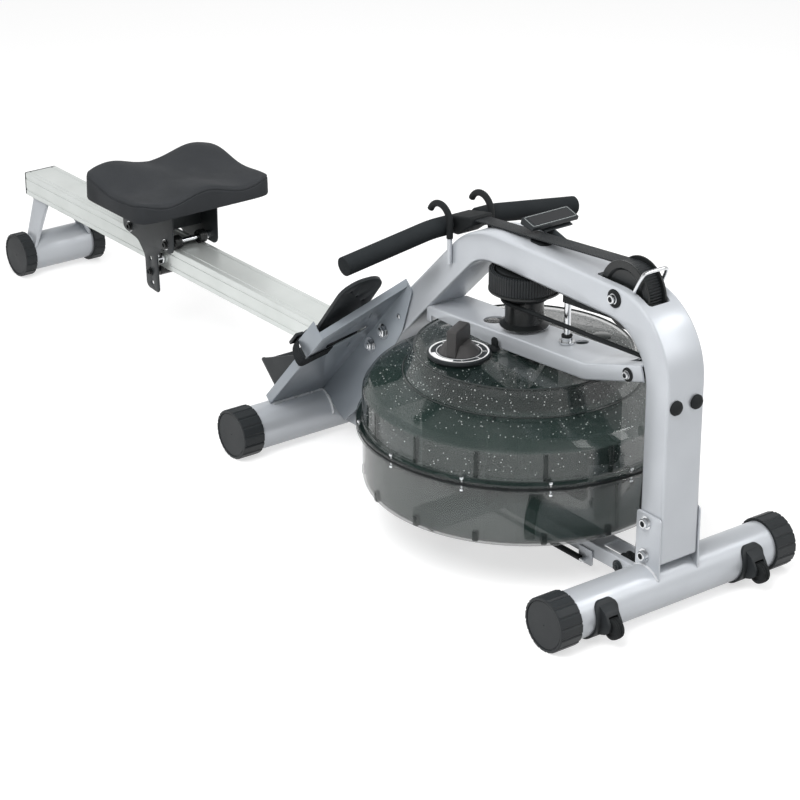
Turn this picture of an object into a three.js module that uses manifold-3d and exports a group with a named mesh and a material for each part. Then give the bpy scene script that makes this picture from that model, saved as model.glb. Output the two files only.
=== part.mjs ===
// A water rowing machine, built as separate pieces in millimetres with +Z up and the tank end toward +X.
// Places along X are measured from the axis of the front foot tube, and heights from the floor.
import * as THREE from 'three';
import { mergeVertices } from 'three/addons/utils/BufferGeometryUtils.js';
import Module from 'manifold-3d';

const wasm = await Module();
wasm.setup();

// Driving dimensions
const fit = { gap: 0.3, overrun: 5, weldSink: 1, mergeStep: 0.001 };
const sides = {
  round: 24, wheel: 16, small: 8, cap: 16, tank: 40, arc: 3, bend: 9, loop: 24, seatAround: 48, blades: 6,
};

const foot = { radius: 40, wall: 2.5, capRadius: 45, capLength: 42, capWall: 4 };
const frontFoot = { halfSpan: 249, plateThick: 3, plateRear: -23, plateFront: 33, plateTop: 176 };
const midFoot = { x: -876, halfSpan: 239 };
const rearFoot = { x: -1891, halfSpan: 95, radius: 38, strutThick: 8, capLength: 25 };

const frame = {
  halfWidth: 39, depth: 52, wall: 2.5, postRear: -20, top: 522, bottom: 94,
  outerFrontRadius: 128, innerFrontRadius: 92, outerRearRadius: 165, innerRearRadius: 80,
  kneeX: -453, legLength: 513, legAngle: THREE.MathUtils.degToRad(44.5),
};
const rail = {
  halfWidth: 36.5, top: 201, bottom: 153, wall: 3, rearX: -1936, frontX: -848,
  grooveInset: 12, grooveWide: 3, grooveDeep: 1, endCapThick: 5, endCapPlug: 20,
};
const tank = {
  x: -357.7, bottom: 88, wall: 4, wallRadius: 266, bottomFillet: 18, flange: 11, flangeLow: 190,
  flangeThick: 6, sealThick: 4, shoulderTop: 274, shoulderIn: 12, slopeTop: 288, riserIn: 68,
  lidIn: 84, top: 330, boreRadius: 22,
};
const drum = {
  bungeeRadius: 32, bungeeLow: 372, flangeRadius: 41, flangeThick: 4, beltLow: 430, beltTop: 467,
  beltCoreRadius: 48, lipRadius: 60, lipThick: 4, shaftRadius: 10, hubRadius: 24,
};
const bracket = {
  halfWidth: 42, thick: 3, flange: 29, rearX: -566, rearTop: 344, kneeX: -160, kneeTop: 376, kneeRadius: 90,
  frontX: -8, frontTop: 423, shaftHole: 27, plugHole: 14, sideHole: 11, sideHoleX: 105, sideHoleY: 28,
};
const base = {
  halfWidth: 24, top: 61, bottom: 34, wall: 3, slotRear: -128, slotFront: -48, slotHalf: 17,
  crossHalfX: 27, crossHalfY: 206, tabRear: -176, tabFront: -143, tabLow: 18,
  pegX: -160, pegRadius: 4, pegLong: 10,
};
const pulley = {
  x: -96, z: 505, radius: 56, beltRadius: 46, halfWide: 19, flange: 3.5,
  axleRadius: 5, headRadius: 9, headLong: 6,
  slotRear: -160, slotFront: -34, slotHalf: 22, keeperRadius: 3,
};
const bungee = {
  cord: 3.75, groove: 12, flangeRadius: 17.5, halfWide: 6.2,
  upperX: -56, upperZ: 392, lowerX: -83, lowerZ: 43, rearX: -640,
  pitch: 9, exitZ: 412.5, axle: 4, endX: -164.5,
};
const belt = { wide: 30, thick: 2.5, coilGap: 0.7, claspX: -470, claspZ: 517.5 };
const turnShares = { bungee: 1.1, belt: 3 };
const handle = {
  z: 498, core: 9, grip: 16.5, straight: 66, halfSpan: 243, drop: 25, gripStart: 31, claspHalf: 24,
};
const hook = { x: -501, low: 440, rodTop: 490, rod: 4.3, rubber: 5.8, bendZ: 510, bendRadius: 27 };
const consoleUnit = {
  x: -345, y: 40, lift: 27, wide: 96, deep: 32, thick: 13, tilt: THREE.MathUtils.degToRad(17), sheet: 2.5,
  footRear: -396, footFront: -304, footDrop: 32,
};
const plate = {
  x: -873, z: 87, angle: THREE.MathUtils.degToRad(47.6), thick: 3, inner: 39.3, outer: 157,
  foldLength: 379, edgeLength: 243, flangeLow: 15, flangeHigh: 25, flangeTop: 10,
  notchStart: 137, notchEnd: 172, windowStart: 185,
};
const cradle = {
  y: 107, start: 22, half: 44, thick: 6, heelHigh: 72, heelThick: 4, heelRound: 13,
  wallSlope: 124, wallLow: 28, wallEnd: 146, toeStart: 200, rampEnd: 240, rampLift: 20,
  toeEnd: 372, toeLift: 34,
};
const strap = { wide: 25, thick: 2.6, at: 162 };
const seat = {
  x: -1405, wide: 304, deep: 212, bottom: 293, edge: 43, lobe: 22, nose: 6, thigh: 11, bowl: 9, draw: 4,
};
const carriage = {
  y: 49, thick: 3, top: 292.7, frontAxleX: -1372, rearAxleX: -1501, axleRadius: 5, rollerRadius: 13,
  rollerHalf: 8, rollerY: 28.5, lowerX: -1433, lowerZ: 140.7, lowerRadius: 12, lowerHalf: 33,
  spareHighX: -1430, spareHighZ: 169, spareLowX: -1425, spareLowZ: 120,
};
const cheek = {
  frontX: -1346, frontLow: 198, frontRound: 16, throatX: -1388, throatZ: 200, throatRound: 6,
  innerX: -1406, innerZ: 181, toeX: -1402, toeZ: 103, toeRound: 8, heelX: -1447, heelZ: 107, heelRound: 12,
  neckX: -1450, neckZ: 170, neckRound: 24, waistX: -1474, waistZ: 195, rearX: -1527, rearLow: 205,
};
const transport = {
  y: 155, x: 57.5, z: 34, radius: 18, half: 7, axle: 4, jawHalf: 22, jawFront: 67, jawTop: 34, jawLow: -30,
  jawRound: 9, padThick: 4, padRear: -10,
};
const dial = {
  x: -387, y: -112, radius: 52, high: 9, stem: 8, knobLong: 58, knobWide: 25, knobHigh: 33, base: 34,
};
const plug = { x: -370.5, y: -51.9, radius: 9, high: 9, tab: 18 };
const impellerSize = { hub: 24, tip: 168, low: 106, high: 262, thick: 5, tipRound: 34 };

const colours = {
  silver: [0xc6c9cf, 0.42, 0.35], aluminium: [0xc4c9c7, 0.35, 0.7], black: [0x2a2d2f, 0.6, 0],
  rubber: [0x1f2122, 0.85, 0], smoke: [0x56605e, 0.15, 0], chrome: [0xb9bcbf, 0.2, 1],
  foam: [0x2f3233, 0.9, 0], steel: [0x34373a, 0.5, 0.3], webbing: [0x3c3f42, 0.9, 0],
};

// Small tools for closed shapes
const smallest = Math.sqrt(Number.EPSILON);
const halfTurn = Math.PI;
const quarterTurn = Math.PI / 2;

function solidOf(geometry) {
  const bare = geometry.index ? geometry.toNonIndexed() : geometry.clone();
  for (const name of Object.keys(bare.attributes)) {
    if (name !== 'position') bare.deleteAttribute(name);
  }
  const merged = mergeVertices(bare, fit.mergeStep);
  return new wasm.Manifold(new wasm.Mesh({
    numProp: 3,
    vertProperties: new Float32Array(merged.attributes.position.array),
    triVerts: new Uint32Array(merged.index.array),
  }));
}

function geometryOf(solid) {
  const mesh = solid.getMesh();
  const geometry = new THREE.BufferGeometry();
  geometry.setAttribute('position', new THREE.BufferAttribute(new Float32Array(mesh.vertProperties), 3));
  geometry.setIndex(new THREE.BufferAttribute(new Uint32Array(mesh.triVerts), 1));
  geometry.computeVertexNormals();
  return geometry;
}

function union(...solids) {
  return solids.reduce((whole, piece) => whole.add(piece));
}

function cut(solid, ...tools) {
  return tools.reduce((whole, tool) => whole.subtract(tool), solid);
}

// A box between two corners
function block([x0, y0, z0], [x1, y1, z1]) {
  const geometry = new THREE.BoxGeometry(x1 - x0, y1 - y0, z1 - z0);
  geometry.translate((x0 + x1) / 2, (y0 + y1) / 2, (z0 + z1) / 2);
  return solidOf(geometry);
}

// A closed profile of [radius, height] points, turned about +Z
function turned(profile, count = sides.round) {
  const points = profile.map(([radius, height]) => new THREE.Vector2(radius, height));
  if (THREE.ShapeUtils.area(points) < 0) points.reverse();
  const geometry = new THREE.LatheGeometry(points, count);
  geometry.rotateX(quarterTurn);
  return solidOf(geometry);
}

// A round bar from low to high along an axis letter, on a line through (a, b) of the other two axes
function bar(axis, radius, low, high, a = 0, b = 0, count = sides.round) {
  const solid = turned([[0, low], [radius, low], [radius, high], [0, high]], count);
  return lay(solid, axis, a, b);
}

// Lays a solid made about +Z along an axis letter and moves it to (a, b) of the other two axes
function lay(solid, axis, a = 0, b = 0) {
  if (axis === 'y') return solid.rotate([-90, 0, 0]).translate([a, 0, b]);
  if (axis === 'x') return solid.rotate([0, 90, 0]).translate([0, a, b]);
  return solid.translate([a, b, 0]);
}

// Radius of a bore whose flats stay a running gap clear of a round shaft
function boreFor(radius, count = sides.round) {
  return (radius + fit.gap) / Math.cos(halfTurn / count);
}

// Corners [x, y, fillet radius] turned into a smooth outline
function outline(corners, steps = sides.arc) {
  const points = [];
  corners.forEach(([x, y, radius = 0], index) => {
    const here = new THREE.Vector2(x, y);
    if (radius === 0) {
      points.push(here);
      return;
    }
    const before = corners[(index + corners.length - 1) % corners.length];
    const after = corners[(index + 1) % corners.length];
    const toBefore = new THREE.Vector2(before[0], before[1]).sub(here).normalize();
    const toAfter = new THREE.Vector2(after[0], after[1]).sub(here).normalize();
    const half = Math.acos(THREE.MathUtils.clamp(toBefore.dot(toAfter), -1, 1)) / 2;
    const reach = radius / Math.tan(half);
    const inward = toBefore.clone().add(toAfter).normalize();
    const centre = inward.multiplyScalar(radius / Math.sin(half)).add(here);
    const start = here.clone().addScaledVector(toBefore, reach).sub(centre);
    const end = here.clone().addScaledVector(toAfter, reach).sub(centre);
    const sweep = Math.atan2(start.x * end.y - start.y * end.x, start.dot(end));
    for (let step = 0; step <= steps; step += 1) {
      const turn = start.clone().rotateAround(new THREE.Vector2(), sweep * step / steps);
      points.push(turn.add(centre));
    }
  });
  return points;
}

// A plate whose outline lies in X and Z, from low to high along Y
function plateY(points, low, high) {
  const geometry = new THREE.ExtrudeGeometry(new THREE.Shape(points), {
    depth: high - low, bevelEnabled: false, curveSegments: sides.arc,
  });
  const place = new THREE.Matrix4().makeBasis(
    new THREE.Vector3(1, 0, 0), new THREE.Vector3(0, 0, 1), new THREE.Vector3(0, -1, 0),
  );
  geometry.applyMatrix4(place);
  geometry.translate(0, high, 0);
  return solidOf(geometry);
}

// A plate whose outline lies in X and Y, from low to high along Z
function plateZ(points, low, high) {
  const geometry = new THREE.ExtrudeGeometry(new THREE.Shape(points), {
    depth: high - low, bevelEnabled: false, curveSegments: sides.arc,
  });
  geometry.translate(0, 0, low);
  return solidOf(geometry);
}

// A round rod along a curve
function rod(curve, radius, steps, count = sides.small) {
  const section = [];
  for (let corner = 0; corner < count; corner += 1) {
    const angle = 2 * halfTurn * corner / count;
    section.push(new THREE.Vector2(radius * Math.cos(angle), radius * Math.sin(angle)));
  }
  const geometry = new THREE.ExtrudeGeometry(new THREE.Shape(section), {
    steps, bevelEnabled: false, extrudePath: curve,
  });
  return solidOf(geometry);
}

// A closed body through rings of points, each ring a loop of the same count
function ringBody(rings) {
  const count = rings[0].length;
  const positions = rings.flat().flatMap((point) => [point.x, point.y, point.z]);
  const index = [];
  for (let ring = 0; ring + 1 < rings.length; ring += 1) {
    for (let corner = 0; corner < count; corner += 1) {
      const next = (corner + 1) % count;
      const a = ring * count + corner;
      const b = ring * count + next;
      index.push(a, b, b + count, a, b + count, a + count);
    }
  }
  const last = (rings.length - 1) * count;
  for (let corner = 1; corner + 1 < count; corner += 1) {
    index.push(0, corner + 1, corner);
    index.push(last, last + corner, last + corner + 1);
  }
  const geometry = new THREE.BufferGeometry();
  geometry.setAttribute('position', new THREE.BufferAttribute(new Float32Array(positions), 3));
  geometry.setIndex(index);
  geometry.computeVertexNormals();
  return geometry;
}

const group = new THREE.Group();
group.name = 'water_rowing_machine';
const machine = new THREE.Group();
const frontReach = transport.x + transport.radius;
const rearReach = -rail.rearX + rail.endCapThick;
machine.position.x = (rearReach - frontReach) / 2;
group.add(machine);

function add(name, body, colour, [x, y, z] = [0, 0, 0], parent = machine) {
  const [hex, roughness, metalness] = colours[colour];
  const material = new THREE.MeshStandardMaterial({ color: hex, roughness, metalness });
  const mesh = new THREE.Mesh(body.isBufferGeometry ? body : geometryOf(body), material);
  mesh.name = name;
  mesh.position.set(x, y, z);
  parent.add(mesh);
  return mesh;
}

const mirrorSides = [['left', 1], ['right', -1]];

// Main frame: one bent box tube, from the post through the top beam to the leg
const legAlong = [-Math.cos(frame.legAngle), -Math.sin(frame.legAngle)];
const legInward = [Math.sin(frame.legAngle), -Math.cos(frame.legAngle)];

function frameOutline(inset) {
  const front = frame.postRear + frame.depth - inset;
  const rear = frame.postRear + inset;
  const top = frame.top - inset;
  const under = frame.top - frame.depth + inset;
  const turnIn = Math.tan(frame.legAngle / 2);
  const outerKnee = frame.kneeX + inset * turnIn;
  const innerKnee = frame.kneeX + (frame.depth - inset) * turnIn;
  const outerEnd = [
    outerKnee + legAlong[0] * frame.legLength,
    top + legAlong[1] * frame.legLength,
  ];
  const width = frame.depth - inset * 2;
  const innerEnd = [outerEnd[0] + legInward[0] * width, outerEnd[1] + legInward[1] * width];
  return outline([
    [front, frame.bottom], [front, top, frame.outerFrontRadius - inset],
    [outerKnee, top, frame.outerRearRadius - inset], outerEnd, innerEnd,
    [innerKnee, under, frame.innerRearRadius + inset], [rear, under, frame.innerFrontRadius + inset],
    [rear, frame.bottom],
  ], sides.bend);
}

function frameHollow() {
  const inner = plateY(frameOutline(frame.wall), -frame.halfWidth + frame.wall, frame.halfWidth - frame.wall);
  const postOpening = block(
    [frame.postRear + frame.wall, -frame.halfWidth + frame.wall, frame.bottom - fit.overrun],
    [frame.postRear + frame.depth - frame.wall, frame.halfWidth - frame.wall, frame.bottom + fit.overrun],
  );
  return union(inner, postOpening);
}

function mainFrame() {
  const shell = cut(plateY(frameOutline(0), -frame.halfWidth, frame.halfWidth), frameHollow());
  const underside = frame.top - frame.depth - frame.depth / 2;
  const slot = block(
    [pulley.slotRear, -pulley.slotHalf, underside],
    [pulley.slotFront, pulley.slotHalf, frame.top + fit.overrun],
  );
  const reach = frame.halfWidth + fit.overrun;
  const axleHole = bar('y', boreFor(pulley.axleRadius), -reach, reach, pulley.x, pulley.z);
  return cut(shell, slot, axleHole);
}
add('main_frame', mainFrame(), 'silver');

// A frame body grown by the fitting gap, used to trim what butts against the frame
const trimHalf = bracket.halfWidth + fit.overrun;
const frameTrim = plateY(frameOutline(-fit.gap), -trimHalf, trimHalf);

// Foot tubes with the welded plates that hold the post, the rail and the leg
function footTube(radius, halfSpan) {
  const half = halfSpan - foot.capWall - fit.gap;
  const past = half + fit.overrun;
  return cut(
    bar('y', radius, -half, half, 0, 0, sides.cap),
    bar('y', radius - foot.wall, -past, past, 0, 0, sides.cap),
  );
}

function frontFootBody() {
  const tube = footTube(foot.radius, frontFoot.halfSpan);
  const inner = frame.halfWidth + fit.gap;
  const low = foot.radius / 2;
  const heightAboveAxis = frontFoot.plateTop - foot.capRadius;
  const shape = outline([
    [frontFoot.plateRear, low], [frontFoot.plateFront, low],
    [frontFoot.plateFront, heightAboveAxis, foot.wall], [frontFoot.plateRear, heightAboveAxis, foot.wall],
  ]);
  const core = bar('y', foot.radius - foot.wall, -frontFoot.halfSpan, frontFoot.halfSpan);
  const plates = [-1, 1].map((side) => {
    const from = side * inner;
    const to = side * (inner + frontFoot.plateThick);
    return cut(plateY(shape, Math.min(from, to), Math.max(from, to)), core);
  });
  return union(tube, ...plates);
}
add('front_foot', frontFootBody(), 'silver', [0, 0, foot.capRadius]);

function midFootBody() {
  const tube = footTube(foot.radius, midFoot.halfSpan);
  const railUnder = rail.bottom - fit.gap - foot.capRadius;
  const half = rail.halfWidth - rail.wall * 2;
  const reach = foot.radius * 0.7;
  const low = foot.radius / 2;
  const core = bar('y', foot.radius - foot.wall, -midFoot.halfSpan, midFoot.halfSpan);
  const past = reach + fit.overrun;
  const pedestal = cut(
    block([-reach, -half, low], [reach, half, railUnder]),
    block([-past, -half + rail.wall, 0], [past, half - rail.wall, railUnder - rail.wall]),
    core,
  );
  return union(tube, pedestal);
}
add('mid_foot', midFootBody(), 'silver', [midFoot.x, 0, foot.capRadius]);

// A strut with four-cornered ends, wide under the rail and narrow at the tube
function strut(side) {
  const tubeTop = rearFoot.radius / 2;
  const under = rail.bottom - fit.gap - rail.wall - foot.capRadius;
  const wideHalf = rearFoot.radius * 0.68;
  const narrowHalf = rearFoot.radius * 0.47;
  const topY = side * (rail.halfWidth - rearFoot.strutThick);
  const lowY = side * (rearFoot.halfSpan - rearFoot.capLength - rearFoot.strutThick / 2 - fit.gap * 2);
  const lean = rearFoot.radius * 0.4;
  const ring = (half, y, z, shift) => {
    const inner = y - side * rearFoot.strutThick / 2;
    const outer = y + side * rearFoot.strutThick / 2;
    const near = Math.min(inner, outer);
    const far = Math.max(inner, outer);
    return [
      new THREE.Vector3(shift - half, near, z), new THREE.Vector3(shift + half, near, z),
      new THREE.Vector3(shift + half, far, z), new THREE.Vector3(shift - half, far, z),
    ];
  };
  return solidOf(ringBody([
    ring(narrowHalf, lowY, tubeTop, lean), ring(wideHalf, topY, under, 0),
  ]));
}

function rearFootBody() {
  const tube = footTube(rearFoot.radius, rearFoot.halfSpan);
  const core = bar('y', rearFoot.radius - foot.wall, -rearFoot.halfSpan, rearFoot.halfSpan);
  const under = rail.bottom - fit.gap - foot.capRadius;
  const reach = rearFoot.radius * 0.7;
  const pad = block([-reach, -rail.halfWidth + rail.wall, under - rail.wall - fit.weldSink],
    [reach, rail.halfWidth - rail.wall, under]);
  return union(tube, cut(strut(1), core), cut(strut(-1), core), pad);
}
add('rear_foot', rearFootBody(), 'silver', [rearFoot.x, 0, foot.capRadius]);

// End caps: cups over the tube ends with a flat facet on the floor
function capBody(tubeRadius, side, length) {
  const outer = foot.capRadius / Math.cos(halfTurn / sides.cap);
  const inner = boreFor(tubeRadius, sides.cap);
  const wall = foot.capWall;
  const cup = turned([
    [0, 0], [outer - wall, 0], [outer, wall], [outer, length], [inner, length], [inner, wall], [0, wall],
  ], sides.cap);
  const lowered = cup.rotate([0, 0, 180 / sides.cap]);
  return side > 0
    ? lowered.rotate([90, 0, 0])
    : lowered.rotate([-90, 0, 0]);
}

const footRows = [
  ['front', 0, frontFoot.halfSpan, foot.radius, foot.capLength],
  ['mid', midFoot.x, midFoot.halfSpan, foot.radius, foot.capLength],
  ['rear', rearFoot.x, rearFoot.halfSpan, rearFoot.radius, rearFoot.capLength],
];
for (const [row, x, halfSpan, radius, length] of footRows) {
  for (const [name, side] of mirrorSides) {
    const at = [x, side * halfSpan, foot.capRadius];
    add(`${row}_foot_cap_${name}`, capBody(radius, side, length), 'black', at);
  }
}

// Transport wheels in brackets that hug the front foot
function transportBracket() {
  const half = transport.jawHalf;
  const past = half + fit.overrun;
  const { jawFront, jawTop, jawLow, jawRound, padThick, padRear } = transport;
  const jaw = plateY(outline([
    [0, jawLow], [jawFront, jawLow, jawRound], [jawFront, 0, jawRound],
    [jawFront - jawRound, jawTop, jawRound], [0, jawTop],
  ]), -half, half);
  const padOuter = foot.radius + padThick;
  const pad = bar('y', padOuter, -half, half, 0, 0, sides.cap)
    .intersect(block([padRear, -past, -padOuter], [padOuter, past, jawTop]));
  const wheelAt = [transport.x, transport.z - foot.capRadius];
  const roomHalf = transport.half + fit.gap * 3;
  const room = bar('y', transport.radius + foot.wall, -roomHalf, roomHalf, ...wheelAt);
  const tubeRoom = bar('y', foot.radius + fit.gap, -past, past, 0, 0, sides.cap);
  const bore = boreFor(transport.axle, sides.small);
  const axleHole = bar('y', bore, -half / 2, half / 2, ...wheelAt, sides.small);
  return cut(union(jaw, pad), room, tubeRoom, axleHole);
}

function transportWheel() {
  const outer = transport.radius;
  const round = transport.half / 2;
  const wheel = turned([
    [0, -transport.half], [outer - round, -transport.half], [outer, -transport.half + round],
    [outer, transport.half - round], [outer - round, transport.half], [0, transport.half],
  ], sides.wheel);
  const pinHalf = transport.jawHalf / 2 - fit.gap;
  const pin = turned([
    [0, -pinHalf], [transport.axle, -pinHalf], [transport.axle, pinHalf], [0, pinHalf],
  ], sides.small);
  return lay(union(wheel, pin), 'y');
}

for (const [name, side] of mirrorSides) {
  add(`transport_bracket_${name}`, transportBracket(), 'black', [0, side * transport.y, foot.capRadius]);
  add(`transport_wheel_${name}`, transportWheel(), 'rubber', [transport.x, side * transport.y, transport.z]);
}

// Base rail under the tank, with the cross bar that carries it and the tab for the bungee end
function baseRail() {
  const rear = midFoot.x + foot.radius / 2;
  const front = -foot.radius / 2;
  const channel = cut(
    block([rear, -base.halfWidth, base.bottom], [front, base.halfWidth, base.top]),
    block([rear - fit.overrun, -base.halfWidth + base.wall, base.bottom - fit.overrun],
      [front + fit.overrun, base.halfWidth - base.wall, base.top - base.wall]),
  );
  const crossTop = tank.bottom - fit.gap;
  const cross = cut(
    block([tank.x - base.crossHalfX, -base.crossHalfY, base.top - fit.weldSink],
      [tank.x + base.crossHalfX, base.crossHalfY, crossTop]),
    block([tank.x - base.crossHalfX + base.wall, -base.crossHalfY - fit.overrun, base.top],
      [tank.x + base.crossHalfX - base.wall, base.crossHalfY + fit.overrun, crossTop - base.wall]),
  );
  const tab = block([base.tabRear, -base.halfWidth - base.wall, base.tabLow],
    [base.tabFront, -base.halfWidth + fit.weldSink, base.bottom + base.halfWidth / 2]);
  const pegEnd = -base.halfWidth - base.wall - base.pegLong;
  const peg = bar('y', base.pegRadius, pegEnd, -base.halfWidth - fit.weldSink, base.pegX,
    base.bottom - bungee.cord * 2, sides.small);
  const pinTop = base.top - base.wall / 2;
  const pinY = -bungee.groove - bungee.cord;
  const pinLow = base.bottom - bungee.halfWide - bungee.cord * 2;
  const pin = bar('z', bungee.axle, pinLow - fit.gap * 2, pinTop, bungee.rearX, pinY, sides.small);
  const pinHead = bar('z', bungee.axle * 2, pinLow - fit.gap * 2 - base.wall, pinLow - fit.gap * 2,
    bungee.rearX, pinY, sides.small);
  const axle = bar('y', bungee.axle, -base.halfWidth - base.wall, base.halfWidth + base.wall,
    bungee.lowerX, bungee.lowerZ, sides.small);
  const slot = block([base.slotRear, -base.slotHalf, base.top - base.wall * 2],
    [base.slotFront, base.slotHalf, base.top + fit.overrun]);
  const trims = [0, midFoot.x].map((x) => bar('y', foot.radius + fit.gap, -base.crossHalfY,
    base.crossHalfY, x, foot.capRadius, sides.cap));
  return cut(union(cut(channel, slot), cross, tab, peg, union(pin, pinHead), axle), ...trims);
}
add('base_rail', baseRail(), 'silver');

// Tank: two bowls clamped at a flange with a seal between, and the lid raised in the middle
const flangeRadius = tank.wallRadius + tank.flange;
const shoulderRadius = tank.wallRadius - tank.shoulderIn;
const riserRadius = tank.wallRadius - tank.riserIn;
const lidRadius = tank.wallRadius - tank.lidIn;

function lowerBowl() {
  const outer = tank.wallRadius;
  const inner = outer - tank.wall;
  const corner = outline([
    [0, tank.bottom], [outer, tank.bottom, tank.bottomFillet], [outer, tank.flangeLow],
    [flangeRadius, tank.flangeLow], [flangeRadius, tank.flangeLow + tank.flangeThick],
    [inner, tank.flangeLow + tank.flangeThick],
    [inner, tank.bottom + tank.wall, tank.bottomFillet - tank.wall], [0, tank.bottom + tank.wall],
  ]);
  return turned(corner.map((point) => [point.x, point.y]), sides.tank);
}

const sealLow = tank.flangeLow + tank.flangeThick + fit.gap;
const upperFlange = sealLow + tank.sealThick + fit.gap;

function upperShell() {
  const outer = tank.wallRadius;
  const wall = tank.wall;
  const bore = tank.boreRadius;
  return turned([
    [bore, tank.top], [lidRadius, tank.top], [riserRadius, tank.slopeTop],
    [shoulderRadius, tank.shoulderTop], [outer, tank.shoulderTop - wall * 4],
    [outer, upperFlange + tank.flangeThick], [flangeRadius, upperFlange + tank.flangeThick],
    [flangeRadius, upperFlange], [outer - wall, upperFlange], [outer - wall, tank.shoulderTop - wall * 4.5],
    [shoulderRadius - wall / 2, tank.shoulderTop - wall],
    [riserRadius - wall, tank.slopeTop - wall],
    [lidRadius - wall, tank.top - wall], [bore, tank.top - wall], [bore, tank.top],
  ], sides.tank);
}

function dialHole() {
  return bar('z', boreFor(dial.stem), tank.slopeTop - tank.wall * 3, tank.top + fit.overrun,
    dial.x - tank.x, dial.y);
}

function plugHole() {
  return bar('z', boreFor(plug.radius - tank.wall), tank.top - tank.wall * 2, tank.top + fit.overrun,
    plug.x - tank.x, plug.y);
}

add('tank_lower_bowl', lowerBowl(), 'smoke', [tank.x, 0, 0]);
add('tank_seal', turned([
  [tank.wallRadius, sealLow], [flangeRadius - fit.gap, sealLow],
  [flangeRadius - fit.gap, sealLow + tank.sealThick], [tank.wallRadius, sealLow + tank.sealThick],
  [tank.wallRadius, sealLow],
], sides.tank), 'rubber', [tank.x, 0, 0]);
add('tank_upper_shell', cut(upperShell(), dialHole(), plugHole()), 'smoke', [tank.x, 0, 0]);

// Reserve tray hung under the lid, which the adjuster dial fills or empties
const trayTop = tank.top - tank.wall - fit.gap;
const trayRadius = lidRadius - tank.wall * 2.5;
const trayFloor = tank.slopeTop - tank.wall * 1.5;

function innerTank() {
  const wall = tank.wall - fit.gap;
  const bore = tank.boreRadius;
  const tray = turned([
    [bore, trayFloor], [trayRadius, trayFloor], [trayRadius, trayTop], [trayRadius - wall, trayTop],
    [trayRadius - wall, trayFloor + wall], [bore + wall, trayFloor + wall], [bore + wall, trayTop],
    [bore, trayTop], [bore, trayFloor],
  ], sides.round);
  return cut(tray, dialHole());
}
add('inner_tank', innerTank(), 'smoke', [tank.x, 0, 0]);

// Impeller and its shaft, which carries the drum through a one-way clutch
function impellerBody() {
  const { hub, tip, low, high, thick, tipRound } = impellerSize;
  const profile = outline([
    [0, low], [tip, low, tipRound / 2], [tip, high, tipRound], [0, high - tipRound],
  ]);
  const blade = plateY(profile, -thick / 2, thick / 2);
  const arms = [];
  for (let index = 0; index < sides.blades; index += 1) {
    arms.push(blade.rotate([0, 0, 360 * index / sides.blades]));
  }
  const core = bar('z', hub, low, high - tipRound);
  const shaftRoom = bar('z', boreFor(drum.shaftRadius), low - fit.overrun, high + fit.overrun);
  return cut(union(core, ...arms), shaftRoom);
}
add('impeller', impellerBody(), 'black', [tank.x, 0, 0]);
const shaftLow = tank.bottom + tank.wall + fit.gap;
add('impeller_shaft', union(
  bar('z', drum.shaftRadius, shaftLow, drum.beltTop - fit.overrun),
  bar('z', drum.hubRadius, impellerSize.low - tank.wall, impellerSize.low - fit.gap),
), 'chrome', [tank.x, 0, 0]);

// Drum: the belt winds on its upper part and the bungee on its lower part
function driveDrum() {
  const bore = boreFor(drum.shaftRadius);
  return turned([
    [bore, drum.bungeeLow - drum.flangeThick], [drum.flangeRadius, drum.bungeeLow - drum.flangeThick],
    [drum.flangeRadius, drum.bungeeLow], [drum.bungeeRadius, drum.bungeeLow + drum.flangeThick],
    [drum.bungeeRadius, drum.beltLow - drum.lipThick], [drum.lipRadius, drum.beltLow],
    [drum.lipRadius, drum.beltLow + drum.lipThick], [drum.beltCoreRadius, drum.beltLow + drum.lipThick],
    [drum.beltCoreRadius, drum.beltTop], [bore, drum.beltTop], [bore, drum.bungeeLow - drum.flangeThick],
  ], sides.round);
}
add('drive_drum', driveDrum(), 'black', [tank.x, 0, 0]);

// Top bracket: a channel over the tank from the leg to the post
const bracketSlope = (bracket.kneeTop - bracket.rearTop) / (bracket.kneeX - bracket.rearX);
function bracketTopAt(x) {
  return bracket.rearTop + (x - bracket.rearX) * bracketSlope;
}

function bracketSide(depth) {
  return outline([
    [bracket.rearX, bracket.rearTop], [bracket.kneeX, bracket.kneeTop, bracket.kneeRadius],
    [bracket.frontX, bracket.frontTop], [bracket.frontX, bracket.frontTop - depth],
    [bracket.kneeX, bracket.kneeTop - depth, bracket.kneeRadius], [bracket.rearX, bracket.rearTop - depth],
  ]);
}

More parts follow.
